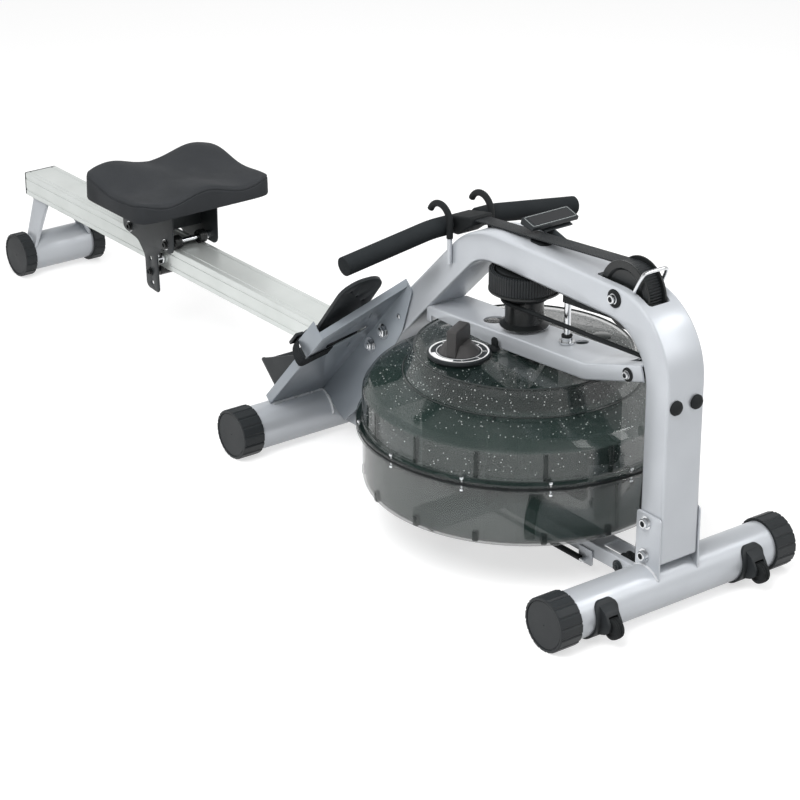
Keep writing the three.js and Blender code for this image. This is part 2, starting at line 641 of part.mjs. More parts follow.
function topBracket() {
  const top = plateY(bracketSide(bracket.thick), -bracket.halfWidth, bracket.halfWidth);
  const cheeks = [-1, 1].map((side) => {
    const outer = side * bracket.halfWidth;
    const inner = side * (bracket.halfWidth - bracket.thick);
    return plateY(bracketSide(bracket.flange), Math.min(outer, inner), Math.max(outer, inner));
  });
  const plugHoleX = tank.x - drum.flangeRadius - fit.overrun * 2;
  const shaftTop = bracketTopAt(tank.x);
  const low = shaftTop - bracket.flange * 2;
  const high = shaftTop + bracket.flange * 2;
  const holes = [
    bar('z', bracket.shaftHole, low, high, tank.x, 0),
    bar('z', bracket.plugHole, low, high, plugHoleX, -bracket.plugHole),
    bar('z', bracket.sideHole, low, high, tank.x + bracket.sideHoleX, bracket.sideHoleY),
  ];
  const axle = bar('y', bungee.axle, -bracket.halfWidth - bracket.thick, bracket.halfWidth + bracket.thick,
    bungee.upperX, bungee.upperZ, sides.small);
  const dialRoom = bar('z', dial.radius + fit.gap * 3, tank.top, low + bracket.flange * 4, dial.x, dial.y);
  const wayHalf = bungee.flangeRadius;
  const pulleyWay = block(
    [bungee.upperX - wayHalf - fit.overrun, -wayHalf, bungee.upperZ - wayHalf],
    [frame.postRear + fit.overrun, wayHalf, frame.top - frame.depth],
  );
  const lidTop = tank.top + fit.gap;
  const lidRoom = bar('z', riserRadius + fit.gap, tank.bottom, lidTop, tank.x, 0, sides.tank);
  const plates = cut(union(top, ...cheeks), ...holes, dialRoom, pulleyWay, lidRoom);
  return cut(union(plates, axle), frameTrim);
}
add('top_bracket', topBracket(), 'silver');

// Tie rod between the bracket and the top beam, with its flanged foot
const tie = { radius: 5.5, x: -250 };
function tieRod() {
  const { radius } = tie;
  const low = bracketTopAt(tie.x) + fit.gap * 5;
  const high = frame.top - frame.depth - fit.gap;
  const footHigh = radius * 2;
  return union(
    bar('z', radius, low, high, 0, 0, sides.small),
    bar('z', radius * 2.4, low, low + footHigh / 3, 0, 0, sides.small),
    bar('z', radius * 1.7, low, low + footHigh, 0, 0, 6),
  );
}
add('tie_rod', tieRod(), 'chrome', [tie.x, 0, 0]);

// Adjuster dial on the lid, turned by its wing knob
function adjusterDial() {
  const radius = dial.radius;
  const disc = turned([
    [0, fit.gap], [radius * 0.96, fit.gap], [radius, dial.high * 0.3], [radius, dial.high * 0.8],
    [radius * 0.95, dial.high], [dial.base, dial.high],
    [dial.base * 0.85, dial.high * 1.7], [0, dial.high * 1.7],
  ], sides.round);
  const stemLow = trayFloor + fit.overrun - tank.top;
  const stem = bar('z', dial.stem, stemLow, dial.high);
  const wing = plateY(outline([
    [-dial.knobLong / 2, dial.high], [dial.knobLong / 2, dial.high],
    [dial.knobLong * 0.42, dial.high + dial.knobHigh, dial.high * 0.5],
    [-dial.knobLong / 2, dial.high + dial.knobHigh * 0.92, dial.high * 0.5],
  ]), -dial.knobWide / 2, dial.knobWide / 2);
  return union(disc, stem, wing.rotate([0, 0, 38]));
}
add('adjuster_dial', adjusterDial(), 'black', [dial.x, dial.y, tank.top]);

function fillPlug() {
  const neck = plug.radius - tank.wall;
  return union(
    turned([
      [0, -tank.wall], [neck, -tank.wall], [neck, fit.gap], [plug.radius, fit.gap],
      [plug.radius, plug.high * 0.6], [plug.radius * 0.7, plug.high], [0, plug.high],
    ], sides.small),
    block([-plug.tab, -plug.radius * 0.3, plug.high * 0.3], [0, plug.radius * 0.3, plug.high * 0.7]),
  );
}
add('fill_plug', fillPlug(), 'rubber', [plug.x, plug.y, tank.top]);

// Front belt pulley on its axle in the bend of the frame
function frontPulley() {
  const bore = boreFor(pulley.axleRadius, sides.round);
  const rim = pulley.beltRadius;
  const half = pulley.halfWide;
  const inner = half - pulley.flange;
  const wheel = turned([
    [bore, -half], [pulley.radius - fit.gap, -half], [pulley.radius, -inner - fit.gap], [rim, -inner],
    [rim, inner], [pulley.radius, inner + fit.gap], [pulley.radius - fit.gap, half],
    [bore, half], [bore, -half],
  ], sides.round);
  return lay(wheel, 'y');
}
add('front_pulley', frontPulley(), 'black', [pulley.x, 0, pulley.z]);

function pulleyAxle() {
  const washer = fit.gap * 7;
  const out = frame.halfWidth + fit.gap + washer;
  const head = out + pulley.headLong;
  const pieces = [bar('y', pulley.axleRadius, -head, head, 0, 0, sides.small)];
  for (const side of [-1, 1]) {
    const seatEnds = [side * (frame.halfWidth + fit.gap), side * out];
    const headEnds = [side * out, side * head];
    pieces.push(bar('y', pulley.headRadius * 1.4, Math.min(...seatEnds), Math.max(...seatEnds), 0, 0,
      sides.wheel));
    pieces.push(bar('y', pulley.headRadius, Math.min(...headEnds), Math.max(...headEnds), 0, 0, 6));
  }
  return union(...pieces);
}
add('pulley_axle', pulleyAxle(), 'chrome', [pulley.x, 0, pulley.z]);

// Wire keeper over the pulley, standing on the bend of the frame
function beltKeeper() {
  const arcCentre = [
    frame.postRear + frame.depth - frame.outerFrontRadius, frame.top - frame.outerFrontRadius,
  ];
  const footX = pulley.x + pulley.radius * 0.55;
  const lift = frame.outerFrontRadius + fit.gap + pulley.keeperRadius;
  const footZ = arcCentre[1] + Math.sqrt(lift ** 2 - (footX - arcCentre[0]) ** 2) + fit.gap;
  const y = pulley.slotHalf + pulley.keeperRadius * 1.5;
  const topX = footX + pulley.radius * 0.3;
  const topZ = footZ + pulley.radius * 0.62;
  const round = pulley.keeperRadius * 2;
  const path = new THREE.CurvePath();
  const a = new THREE.Vector3(footX, -y, footZ);
  const b = new THREE.Vector3(topX, -y + round, topZ);
  const c = new THREE.Vector3(topX, y - round, topZ);
  const d = new THREE.Vector3(footX, y, footZ);
  const shortOf = (from, to) => to.clone().addScaledVector(from.clone().sub(to).normalize(), round);
  path.add(new THREE.LineCurve3(a, shortOf(a, b)));
  path.add(new THREE.QuadraticBezierCurve3(shortOf(a, b), b, shortOf(c, b)));
  path.add(new THREE.LineCurve3(shortOf(c, b), shortOf(b, c)));
  path.add(new THREE.QuadraticBezierCurve3(shortOf(b, c), c, shortOf(d, c)));
  path.add(new THREE.LineCurve3(shortOf(d, c), d));
  return rod(path, pulley.keeperRadius, sides.wheel, sides.small);
}
add('belt_keeper', beltKeeper(), 'chrome');

// Webbing belt: from the clasp over the pulley, twisted to the drum and wound on it
const beltSeat = (pulley.beltRadius + fit.gap) / Math.cos(halfTurn / sides.round) + belt.thick / 2;
const coilPitch = belt.thick + belt.coilGap;
const coilInner = (drum.beltCoreRadius + fit.gap) / Math.cos(halfTurn / sides.loop) + belt.thick / 2;
const coilOuter = coilInner + coilPitch * turnShares.belt;
const beltZ = drum.beltLow + drum.lipThick + fit.gap * 2 + belt.wide / 2;

function beltStations() {
  const stations = [];
  const push = (point, across, out) => stations.push({ point, across, out });
  const yAxis = new THREE.Vector3(0, 1, 0);
  const start = new THREE.Vector3(belt.claspX, 0, belt.claspZ);
  const centre = new THREE.Vector3(pulley.x, 0, pulley.z);
  const toPulley = centre.clone().sub(start);
  const reach = toPulley.length();
  const firstAngle = Math.atan2(toPulley.z, toPulley.x) + halfTurn - Math.acos(beltSeat / reach);
  const topPoint = new THREE.Vector3(
    centre.x + beltSeat * Math.cos(firstAngle), 0, centre.z + beltSeat * Math.sin(firstAngle),
  );
  push(start, yAxis, new THREE.Vector3(Math.cos(firstAngle), 0, Math.sin(firstAngle)));
  const sweep = firstAngle + quarterTurn;
  for (let step = 0; step <= sides.wheel; step += 1) {
    const angle = firstAngle - sweep * step / sides.wheel;
    const out = new THREE.Vector3(Math.cos(angle), 0, Math.sin(angle));
    push(centre.clone().addScaledVector(out, beltSeat), yAxis, out);
  }
  const flangeReach = Math.sqrt(pulley.radius ** 2 - pulley.beltRadius ** 2);
  const leavePoint = new THREE.Vector3(centre.x - flangeReach, 0, centre.z - beltSeat);
  push(leavePoint, yAxis, new THREE.Vector3(0, 0, -1));
  const drumCentre = new THREE.Vector3(tank.x, 0, beltZ);
  const leave = stations[stations.length - 1];
  const span = leave.point.x - tank.x;
  const tangent = Math.acos(coilOuter / span);
  const land = new THREE.Vector3(Math.cos(tangent), Math.sin(tangent), 0);
  const landPoint = drumCentre.clone().addScaledVector(land, coilOuter);
  const up = new THREE.Vector3(0, 0, 1);
  for (let step = 1; step < sides.bend; step += 1) {
    const share = step / sides.bend;
    const twist = share * share * (3 - 2 * share);
    const point = leave.point.clone().lerp(landPoint, share);
    const across = yAxis.clone().multiplyScalar(Math.cos(twist * quarterTurn))
      .addScaledVector(up, Math.sin(twist * quarterTurn)).normalize();
    const along = landPoint.clone().sub(leave.point).normalize();
    push(point, across, new THREE.Vector3().crossVectors(across, along).normalize());
  }
  const steps = sides.loop * turnShares.belt;
  for (let step = 0; step <= steps; step += 1) {
    const angle = tangent + 2 * halfTurn * step / sides.loop;
    const radius = coilOuter - coilPitch * step / sides.loop;
    const out = new THREE.Vector3(Math.cos(angle), Math.sin(angle), 0);
    push(drumCentre.clone().addScaledVector(out, radius), up, out);
  }
  return { stations, topPoint };
}

function beltBody() {
  const { stations } = beltStations();
  const rings = stations.map(({ point, across, out }, index) => {
    const wide = across.clone().multiplyScalar(belt.wide / 2);
    const thick = out.clone().multiplyScalar(belt.thick / 2);
    return [
      point.clone().sub(wide).sub(thick), point.clone().add(wide).sub(thick),
      point.clone().add(wide).add(thick), point.clone().sub(wide).add(thick),
    ];
  });
  return ringBody(rings);
}
add('handle_belt', beltBody(), 'webbing');

// Guard that shields the twisting belt under the beam and curves below the pulley
function beltGuard() {
  const thick = base.wall * 0.8;
  const ceiling = frame.top - frame.depth - fit.gap;
  const rearFloor = beltZ - belt.wide / 2 - thick;
  const rear = tie.x + tie.radius + fit.overrun;
  const wrap = pulley.radius + thick * 2;
  const frontFloor = pulley.z - wrap - thick;
  const wallEnd = pulley.x - wrap * 0.9;
  const farY = coilOuter * 0.86;
  const side = pulley.halfWide + thick;
  const pastFront = pulley.x + fit.overrun;
  const pastRear = rear - fit.overrun;
  const plan = outline([
    [rear, -side, thick], [pulley.x, -side], [pulley.x, side], [wallEnd, side], [rear, farY, thick],
  ]);
  const inner = outline([
    [rear + thick, thick - side], [pastFront, thick - side], [pastFront, side - thick],
    [wallEnd, side - thick], [rear + thick, farY - thick],
  ]);
  const under = (lift) => plateY([
    new THREE.Vector2(pastRear, rearFloor + lift), new THREE.Vector2(pastFront, frontFloor + lift),
    new THREE.Vector2(pastFront, rearFloor - thick), new THREE.Vector2(pastRear, rearFloor - thick),
  ], -farY - fit.overrun, farY + fit.overrun);
  const hollow = cut(plateZ(inner, rearFloor - thick, ceiling + fit.overrun), under(thick));
  const above = ceiling + thick;
  const gate = block([pastRear, 0, rearFloor + thick], [rear + thick * 2, farY - thick, above]);
  const openFront = block([wallEnd, -farY, frontFloor + thick * 2], [pastFront, farY, above]);
  const tray = cut(plateZ(plan, rearFloor - thick, ceiling), under(0), hollow, gate, openFront);
  const ring = cut(
    bar('y', wrap + thick, -side, side, pulley.x, pulley.z),
    bar('y', wrap, -farY, farY, pulley.x, pulley.z),
    block([pulley.x - wrap * 2, -farY, frontFloor - thick],
      [pulley.x - fit.weldSink, farY, pulley.z + wrap * 2]),
    block([pulley.x - wrap * 2, -farY, ceiling], [pulley.x + wrap * 2, farY, pulley.z + wrap * 2]),
  );
  return cut(union(tray, ring), frameTrim);
}
add('belt_guard', beltGuard(), 'black');

// Handle: a bent core bar, a foam grip on each half and the clasp that holds the belt
function handlePoint(y) {
  const past = Math.max(0, Math.abs(y) - handle.straight);
  const slope = handle.drop / (handle.halfSpan - handle.straight);
  return new THREE.Vector3(0, y, -slope * past);
}

function handleRun(from, to) {
  const points = [];
  const spread = handle.grip;
  const breaks = [-1, 1].map((side) => side * handle.straight);
  points.push(from);
  for (const value of breaks) {
    for (const shift of [-spread, 0, spread]) {
      const y = value + shift;
      if (y > from && y < to) points.push(y);
    }
  }
  points.push(to);
  const places = points.map((y) => {
    const past = Math.abs(Math.abs(y) - handle.straight);
    const place = handlePoint(y);
    if (past === 0) {
      const slope = handle.drop / (handle.halfSpan - handle.straight);
      place.z = -slope * spread / 4;
    }
    return place;
  });
  return new THREE.CatmullRomCurve3(places, false, 'centripetal');
}

const handleX = hook.x - hook.rubber - handle.grip - fit.gap * 2;
const handleAt = [handleX, 0, handle.z];
const corePast = handle.halfSpan - handle.grip;
const coreRod = rod(handleRun(-corePast, corePast), handle.core, sides.wheel, sides.small);
add('handle_bar', coreRod, 'chrome', handleAt);
for (const [name, side] of mirrorSides) {
  const ends = side > 0 ? [handle.gripStart, handle.halfSpan] : [-handle.halfSpan, -handle.gripStart];
  const coreEnds = side > 0 ? [0, corePast + fit.gap * 2] : [-corePast - fit.gap * 2, 0];
  const outer = rod(handleRun(...ends), handle.grip, sides.small, sides.wheel);
  const inner = rod(handleRun(...coreEnds), boreFor(handle.core, sides.small), sides.small, sides.small);
  add(`handle_grip_${name}`, cut(outer, inner), 'foam', handleAt);
}

function beltClasp() {
  const radius = handle.grip * 0.95;
  const soft = fit.gap * 5;
  const round = bar('y', radius, -handle.claspHalf, handle.claspHalf, 0, 0, sides.wheel);
  const tongueEnd = belt.claspX - handleX - fit.gap;
  const rise = belt.claspZ - handle.z;
  const tongue = plateY(outline([
    [0, -radius], [radius * 0.9, -radius], [tongueEnd, rise - radius * 0.4, soft],
    [tongueEnd, rise + radius * 0.4, soft], [0, radius],
  ]), -handle.claspHalf * 0.8, handle.claspHalf * 0.8);
  const core = bar('y', boreFor(handle.core, sides.small), -handle.claspHalf - fit.overrun,
    handle.claspHalf + fit.overrun, 0, 0, sides.small);
  return cut(union(round, tongue), core);
}
add('belt_clasp', beltClasp(), 'rubber', handleAt);

// Hooks that the handle rests under, a steel stem with a rubber sleeve
function hookBody() {
  const stem = bar('z', hook.rod, hook.low, hook.rodTop, 0, 0, sides.small);
  const path = new THREE.CurvePath();
  const low = new THREE.Vector3(0, 0, hook.rodTop - hook.rubber);
  const high = new THREE.Vector3(0, 0, hook.bendZ);
  path.add(new THREE.LineCurve3(low, high));
  const arc = [];
  const sweep = halfTurn * 0.86;
  for (let step = 0; step <= sides.bend; step += 1) {
    const angle = sweep * step / sides.bend;
    arc.push(new THREE.Vector3(
      -hook.bendRadius + hook.bendRadius * Math.cos(angle), 0, hook.bendZ + hook.bendRadius * Math.sin(angle),
    ));
  }
  path.add(new THREE.CatmullRomCurve3(arc));
  const tip = arc[arc.length - 1];
  const ball = new THREE.SphereGeometry(hook.rubber * 1.02, sides.small, sides.arc + 2);
  ball.translate(tip.x, tip.y, tip.z);
  return union(stem, rod(path, hook.rubber, sides.wheel, sides.small), solidOf(ball));
}
for (const [name, side] of mirrorSides) {
  const hookY = side * (frame.halfWidth + fit.gap + hook.rod);
  add(`handle_hook_${name}`, hookBody(), 'rubber', [hook.x, hookY, 0]);
}

// Console: a slim display housing on a sheet bracket at the far side of the beam
function consoleHousing() {
  const deep = consoleUnit.deep / 2;
  const thick = consoleUnit.thick;
  const side = outline([
    [-deep, -thick, thick / 4], [deep, -thick * 0.6, thick / 5], [deep, 0, thick / 6], [-deep, 0, thick / 5],
  ]);
  return plateY(side, -consoleUnit.wide / 2, consoleUnit.wide / 2);
}
const consoleZ = frame.top + consoleUnit.lift;
const consoleFoot = frame.top - consoleUnit.footDrop;
const consoleAt = [consoleUnit.x, consoleUnit.y, consoleZ];
const consoleMesh = add('console_housing', consoleHousing(), 'black', consoleAt);
consoleMesh.rotation.y = consoleUnit.tilt;

function consoleBracket() {
  const { sheet, tilt } = consoleUnit;
  const inner = frame.halfWidth + fit.gap;
  const under = consoleUnit.thick + fit.gap;
  const deep = consoleUnit.deep / 2;
  const place = (along, down) => new THREE.Vector2(
    consoleUnit.x + along * Math.cos(tilt) - down * Math.sin(tilt),
    consoleZ - along * Math.sin(tilt) - down * Math.cos(tilt),
  );
  const upright = plateY([
    new THREE.Vector2(consoleUnit.footRear, consoleFoot),
    new THREE.Vector2(consoleUnit.footFront, consoleFoot),
    new THREE.Vector2(consoleUnit.footFront, frame.top),
    place(deep, under + sheet / 2), place(-deep, under + sheet / 2),
  ], inner, inner + sheet);
  const shelf = plateY([
    place(-deep, under + sheet), place(deep, under + sheet), place(deep, under), place(-deep, under),
  ], belt.wide / 2 + fit.overrun, consoleUnit.y + consoleUnit.wide * 0.4);
  return union(upright, shelf);
}
add('console_bracket', consoleBracket(), 'steel');

// Bungee: wound on the drum, over the post pulley, down to the base rail and back under the tank
function sweep(points, radius, count) {
  const rings = [];
  let normal = null;
  points.forEach((point, index) => {
    const before = points[Math.max(index - 1, 0)];
    const after = points[Math.min(index + 1, points.length - 1)];
    const tangent = after.clone().sub(before).normalize();
    if (normal === null) {
      normal = new THREE.Vector3(0, 0, 1).cross(tangent);
    }
    normal.addScaledVector(tangent, -normal.dot(tangent)).normalize();
    const other = new THREE.Vector3().crossVectors(tangent, normal);
    const ring = [];
    for (let corner = 0; corner < count; corner += 1) {
      const angle = 2 * halfTurn * corner / count;
      ring.push(point.clone()
        .addScaledVector(normal, radius * Math.cos(angle))
        .addScaledVector(other, radius * Math.sin(angle)));
    }
    rings.push(ring);
  });
  return ringBody(rings);
}

const grooveRun = bungee.groove + bungee.cord + fit.gap;

function bungeeRoute() {
  const points = [];
  const windRadius = drum.bungeeRadius + (bungee.cord + fit.gap) / Math.cos(halfTurn / sides.loop);
  const steps = Math.round(sides.loop * turnShares.bungee);
  for (let step = 0; step <= steps; step += 1) {
    const turn = (steps - step) / sides.loop;
    const angle = -quarterTurn - 2 * halfTurn * turn;
    points.push(new THREE.Vector3(
      tank.x + windRadius * Math.cos(angle), windRadius * Math.sin(angle), bungee.exitZ + bungee.pitch * turn,
    ));
  }
  const arc = (centre, from, to, place) => {
    for (let step = 0; step <= sides.bend; step += 1) {
      const angle = from + (to - from) * step / sides.bend;
      points.push(place(centre, angle));
    }
  };
  const onY = ([x, z], angle) => new THREE.Vector3(
    x + grooveRun * Math.cos(angle), 0, z + grooveRun * Math.sin(angle),
  );
  const onZ = ([x, y], angle) => new THREE.Vector3(
    x + grooveRun * Math.cos(angle), y + grooveRun * Math.sin(angle), bungee.lowerZ - grooveRun,
  );
  const drop = Math.atan2(bungee.upperX - bungee.lowerX, bungee.upperZ - bungee.lowerZ);
  arc([bungee.upperX, bungee.upperZ], quarterTurn, -drop, onY);
  arc([bungee.lowerX, bungee.lowerZ], -drop, -quarterTurn, onY);
  arc([bungee.rearX, -grooveRun], quarterTurn, quarterTurn * 3, onZ);
  points.push(new THREE.Vector3(bungee.endX, -grooveRun * 2, bungee.lowerZ - grooveRun));
  return points;
}

// Least gap of the winding to itself, over points a turn or more apart
function windingGap(points) {
  const count = Math.round(sides.loop * turnShares.bungee) + 1;
  let least = Infinity;
  for (let first = 0; first < count; first += 1) {
    for (let second = first + Math.round(sides.loop / 2); second < count; second += 1) {
      least = Math.min(least, points[first].distanceTo(points[second]) - bungee.cord * 2);
    }
  }
  return least;
}

const route = bungeeRoute();
console.log('bungee least gap to itself', windingGap(route).toFixed(2), 'mm');
console.log('belt coil gap to itself', belt.coilGap.toFixed(2), 'mm');
add('bungee_cord', sweep(route, bungee.cord, sides.small), 'rubber');

function bungeePulley() {
  const bore = boreFor(bungee.axle, sides.small);
  const half = bungee.halfWide;
  return turned([
    [bore, -half], [bungee.flangeRadius, -half], [bungee.flangeRadius, -half + fit.gap * 3],
    [bungee.groove, -bungee.cord * 0.6], [bungee.groove, bungee.cord * 0.6],
    [bungee.flangeRadius, half - fit.gap * 3], [bungee.flangeRadius, half], [bore, half], [bore, -half],
  ], sides.wheel);
}
add('bungee_pulley_upper', lay(bungeePulley(), 'y'), 'black', [bungee.upperX, 0, bungee.upperZ]);
add('bungee_pulley_lower', lay(bungeePulley(), 'y'), 'black', [bungee.lowerX, 0, bungee.lowerZ]);
add('bungee_pulley_rear', bungeePulley(), 'black', [bungee.rearX, -grooveRun, bungee.lowerZ - grooveRun]);

// Foot plates: folded sheets welded to the middle foot and bolted beside the leg
function plateEdge(corners, low, high) {
  return plateZ(corners.map(([x, y]) => new THREE.Vector2(x, y)), low, high);
}

function footPlate(side) {
  const { thick, inner, outer, foldLength, edgeLength, flangeLow, flangeHigh, flangeTop } = plate;
  const { notchStart, notchEnd, windowStart } = plate;
  const y = (value) => side * value;
  const sheet = plateEdge([
    [0, y(inner)], [foldLength, y(inner)], [edgeLength, y(outer)], [0, y(outer)],
  ], -thick, 0);
  const lowFlange = plateEdge([
    [0, y(outer - thick)], [notchStart, y(outer - thick)], [notchStart, y(outer)], [0, y(outer)],
  ], -thick, flangeLow);
  const highFlange = plateEdge([
    [notchEnd, y(outer - thick)], [edgeLength, y(outer - thick)],
    [edgeLength, y(outer)], [notchEnd, y(outer)],
  ], -thick, flangeHigh);
  const slant = (foldLength - edgeLength) / (outer - inner);
  const topFlange = plateEdge([
    [foldLength - thick * 2, y(inner)], [foldLength, y(inner)], [edgeLength, y(outer)],
    [edgeLength - thick * 1.5, y(outer - thick)],
  ], -thick, flangeTop);
  const leg = frame.depth;
  const tubeAt = intoPlate(midFoot.x, foot.capRadius);
  const cheekShape = outline([
    [0, 0], [foldLength, 0], [foldLength, -leg * 0.33, thick * 3], [foldLength * 0.8, -leg * 0.96, leg / 3],
    [foldLength * 0.26, -leg * 1.64], [foldLength * 0.04, -leg * 1.5],
  ]);
  const from = y(inner);
  const to = y(inner + thick);
  const cheek = plateY(cheekShape, Math.min(from, to), Math.max(from, to));
  const tubeBore = boreFor(foot.radius, sides.tank);
  const tubeRoom = bar('y', tubeBore, -midFoot.halfSpan, midFoot.halfSpan, ...tubeAt, sides.tank);
  const window = plateEdge([
    [windowStart, y(outer * 0.8)], [windowStart + flangeHigh, y(outer * 0.84)],
    [edgeLength + thick * 2, y(outer * 0.36)], [edgeLength - flangeHigh * 0.8, y(outer * 0.4)],
  ], -thick * 2, thick);
  const bend = plateEdge([
    [0, y(inner)], [foldLength, y(inner)], [foldLength + slant, y(inner + thick)], [0, y(inner + thick)],
  ], -thick, 0);
  return cut(union(sheet, lowFlange, highFlange, topFlange, cheek, bend), window, tubeRoom);
}

// A place in the machine turned into the foot plate's own X and Z
function intoPlate(x, z) {
  const along = new THREE.Vector2(Math.cos(plate.angle), Math.sin(plate.angle));
  const out = new THREE.Vector2(-Math.sin(plate.angle), Math.cos(plate.angle));
  const from = new THREE.Vector2(x - plate.x, z - plate.z);
  return [from.dot(along), from.dot(out)];
}

// Foot cradle: a long shoe plate with a heel cup and a raised toe
function footCradle() {
  const { start, half, thick, heelHigh, heelThick, heelRound, wallSlope, wallLow, wallEnd } = cradle;
  const { toeStart, rampEnd, rampLift, toeEnd, toeLift } = cradle;
  const low = fit.gap;
  const innerRound = heelRound - heelThick;
  const sole = plateZ(outline([
    [start, -half, heelRound], [toeStart, -half], [toeStart, half], [start, half, heelRound],
  ]), low, low + thick);
  const wallBlock = plateZ(outline([
    [start, -half, heelRound], [wallEnd, -half], [wallEnd, half], [start, half, heelRound],
  ]), low, low + heelHigh);
  const footRoom = plateZ(outline([
    [start + heelThick, heelThick - half, innerRound], [toeStart, heelThick - half],
    [toeStart, half - heelThick], [start + heelThick, half - heelThick, innerRound],
  ]), low + thick, low + heelHigh + fit.overrun);
  const above = low + heelHigh + fit.overrun;
  const slopeCut = plateY([
    new THREE.Vector2(start + heelRound, low + heelHigh), new THREE.Vector2(wallSlope, low + wallLow),
    new THREE.Vector2(wallEnd, low + thick), new THREE.Vector2(wallEnd + fit.overrun, low + thick),
    new THREE.Vector2(wallEnd + fit.overrun, above), new THREE.Vector2(start + heelRound, above),
  ], -half - fit.overrun, half + fit.overrun);
  const heelWall = cut(wallBlock, footRoom, slopeCut);
  const toeShape = [
    [toeStart - fit.weldSink, low], [toeStart, low], [rampEnd, rampLift], [toeEnd, toeLift - thick],
    [toeEnd, toeLift], [rampEnd, rampLift + thick], [toeStart, low + thick],
    [toeStart - fit.weldSink, low + thick],
  ].map(([x, z]) => new THREE.Vector2(x, z));
  const toeRound = plateZ(outline([
    [start, -half], [toeEnd, -half, half * 0.9], [toeEnd, half, half * 0.9], [start, half],
  ], sides.bend), -thick, toeLift + thick);
  const toe = plateY(toeShape, -half, half).intersect(toeRound);
  return union(sole, heelWall, toe);
}

// Strap over the foot, under the plate and round its outer edge
function strapPoints(side) {
  const { outer, thick } = plate;
  const under = -thick - strap.thick / 2 - fit.gap;
  const far = outer + strap.thick + fit.gap * 3;
  const near = cradle.y - cradle.half;
  const high = cradle.half;
  return [
    [far * 0.72, under], [far * 0.9, under], [far, under - strap.thick * 0.5], [far + strap.thick * 1.5, 0],
    [far + strap.thick * 1.6, high * 0.3],
    [far * 0.98, high * 0.8], [far * 0.82, high * 1.1], [cradle.y * 0.92, high * 1.16],
    [near + high * 0.1, high * 0.86], [near - strap.thick * 2, high * 0.4],
    [near - strap.thick * 2.4, fit.gap],
  ].map(([y, z], index) => new THREE.Vector3(strap.at + (index === 0 ? strap.wide : 0), side * y, z));
}

function footStrap(side) {
  const curve = new THREE.CatmullRomCurve3(strapPoints(side), false, 'centripetal');
  const along = new THREE.Vector3(1, 0, 0);
  const steps = sides.round;
  const rings = [];
  for (let step = 0; step <= steps; step += 1) {
    const point = curve.getPoint(step / steps);
    const tangent = curve.getTangent(step / steps);
    const out = new THREE.Vector3().crossVectors(tangent, along).normalize().multiplyScalar(strap.thick / 2);
    const wide = along.clone().multiplyScalar(strap.wide / 2);
    rings.push([
      point.clone().add(wide).sub(out), point.clone().add(wide).add(out),
      point.clone().sub(wide).add(out), point.clone().sub(wide).sub(out),
    ]);
  }
  return solidOf(ringBody(rings));
}

for (const [name, side] of mirrorSides) {
  const slope = new THREE.Group();
  slope.position.set(plate.x, 0, plate.z);
  slope.rotation.y = -plate.angle;
  machine.add(slope);
  add(`foot_plate_${name}`, footPlate(side), 'silver', [0, 0, 0], slope);
  add(`foot_cradle_${name}`, footCradle(), 'black', [0, side * cradle.y, 0], slope);
  add(`foot_strap_${name}`, footStrap(side), 'webbing', [0, 0, 0], slope);
}

// Seat rail: a hollow extrusion with shallow grooves, and its end cap
function railSection() {
  const { halfWidth, top, bottom, grooveInset, grooveWide, grooveDeep } = rail;
  const middle = (top + bottom) / 2;
  const half = (top - bottom) / 2;
  const sideGroove = half - grooveInset;
  const topGroove = halfWidth - grooveInset;
  const quarter = [
    [halfWidth, 0], [halfWidth, sideGroove], [halfWidth - grooveDeep, sideGroove],
    [halfWidth - grooveDeep, sideGroove + grooveWide], [halfWidth, sideGroove + grooveWide],
    [halfWidth, half - grooveDeep], [halfWidth - grooveDeep, half],
    [topGroove + grooveWide, half], [topGroove + grooveWide, half - grooveDeep],
    [topGroove, half - grooveDeep], [topGroove, half], [0, half],
  ];
  const turn = [
    ...quarter,
    ...quarter.slice(0, -1).reverse().map(([y, z]) => [-y, z]),
    ...quarter.slice(1).map(([y, z]) => [-y, -z]),
    ...quarter.slice(1, -1).reverse().map(([y, z]) => [y, -z]),
  ];
  return turn.map(([y, z]) => new THREE.Vector2(y, z + middle));
}

function seatRail() {
  const geometry = new THREE.ExtrudeGeometry(new THREE.Shape(railSection()), {
    depth: rail.frontX - rail.rearX, bevelEnabled: false,
  });
  const place = new THREE.Matrix4().makeBasis(
    new THREE.Vector3(0, 1, 0), new THREE.Vector3(0, 0, 1), new THREE.Vector3(1, 0, 0),
  );
  geometry.applyMatrix4(place);
  geometry.translate(rail.rearX, 0, 0);
  const inner = block(
    [rail.rearX - fit.overrun, -rail.halfWidth + rail.wall, rail.bottom + rail.wall],
    [rail.frontX + fit.overrun, rail.halfWidth - rail.wall, rail.top - rail.wall],
  );
  return cut(solidOf(geometry), inner);
}
add('seat_rail', seatRail(), 'aluminium');

function railEndCap() {
  const gap = fit.gap;
  const inner = rail.wall + gap;
  return union(
    block([rail.rearX - rail.endCapThick, -rail.halfWidth, rail.bottom],
      [rail.rearX - gap, rail.halfWidth, rail.top]),
    block([rail.rearX - gap * 2, -rail.halfWidth + inner, rail.bottom + inner],
      [rail.rearX + rail.endCapPlug, rail.halfWidth - inner, rail.top - inner]),
  );
}
add('rail_end_cap', railEndCap(), 'black');

// Seat carriage: two side plates joined over and under the rail, on axles with rollers
const rollerZ = rail.top + fit.gap + carriage.rollerRadius;

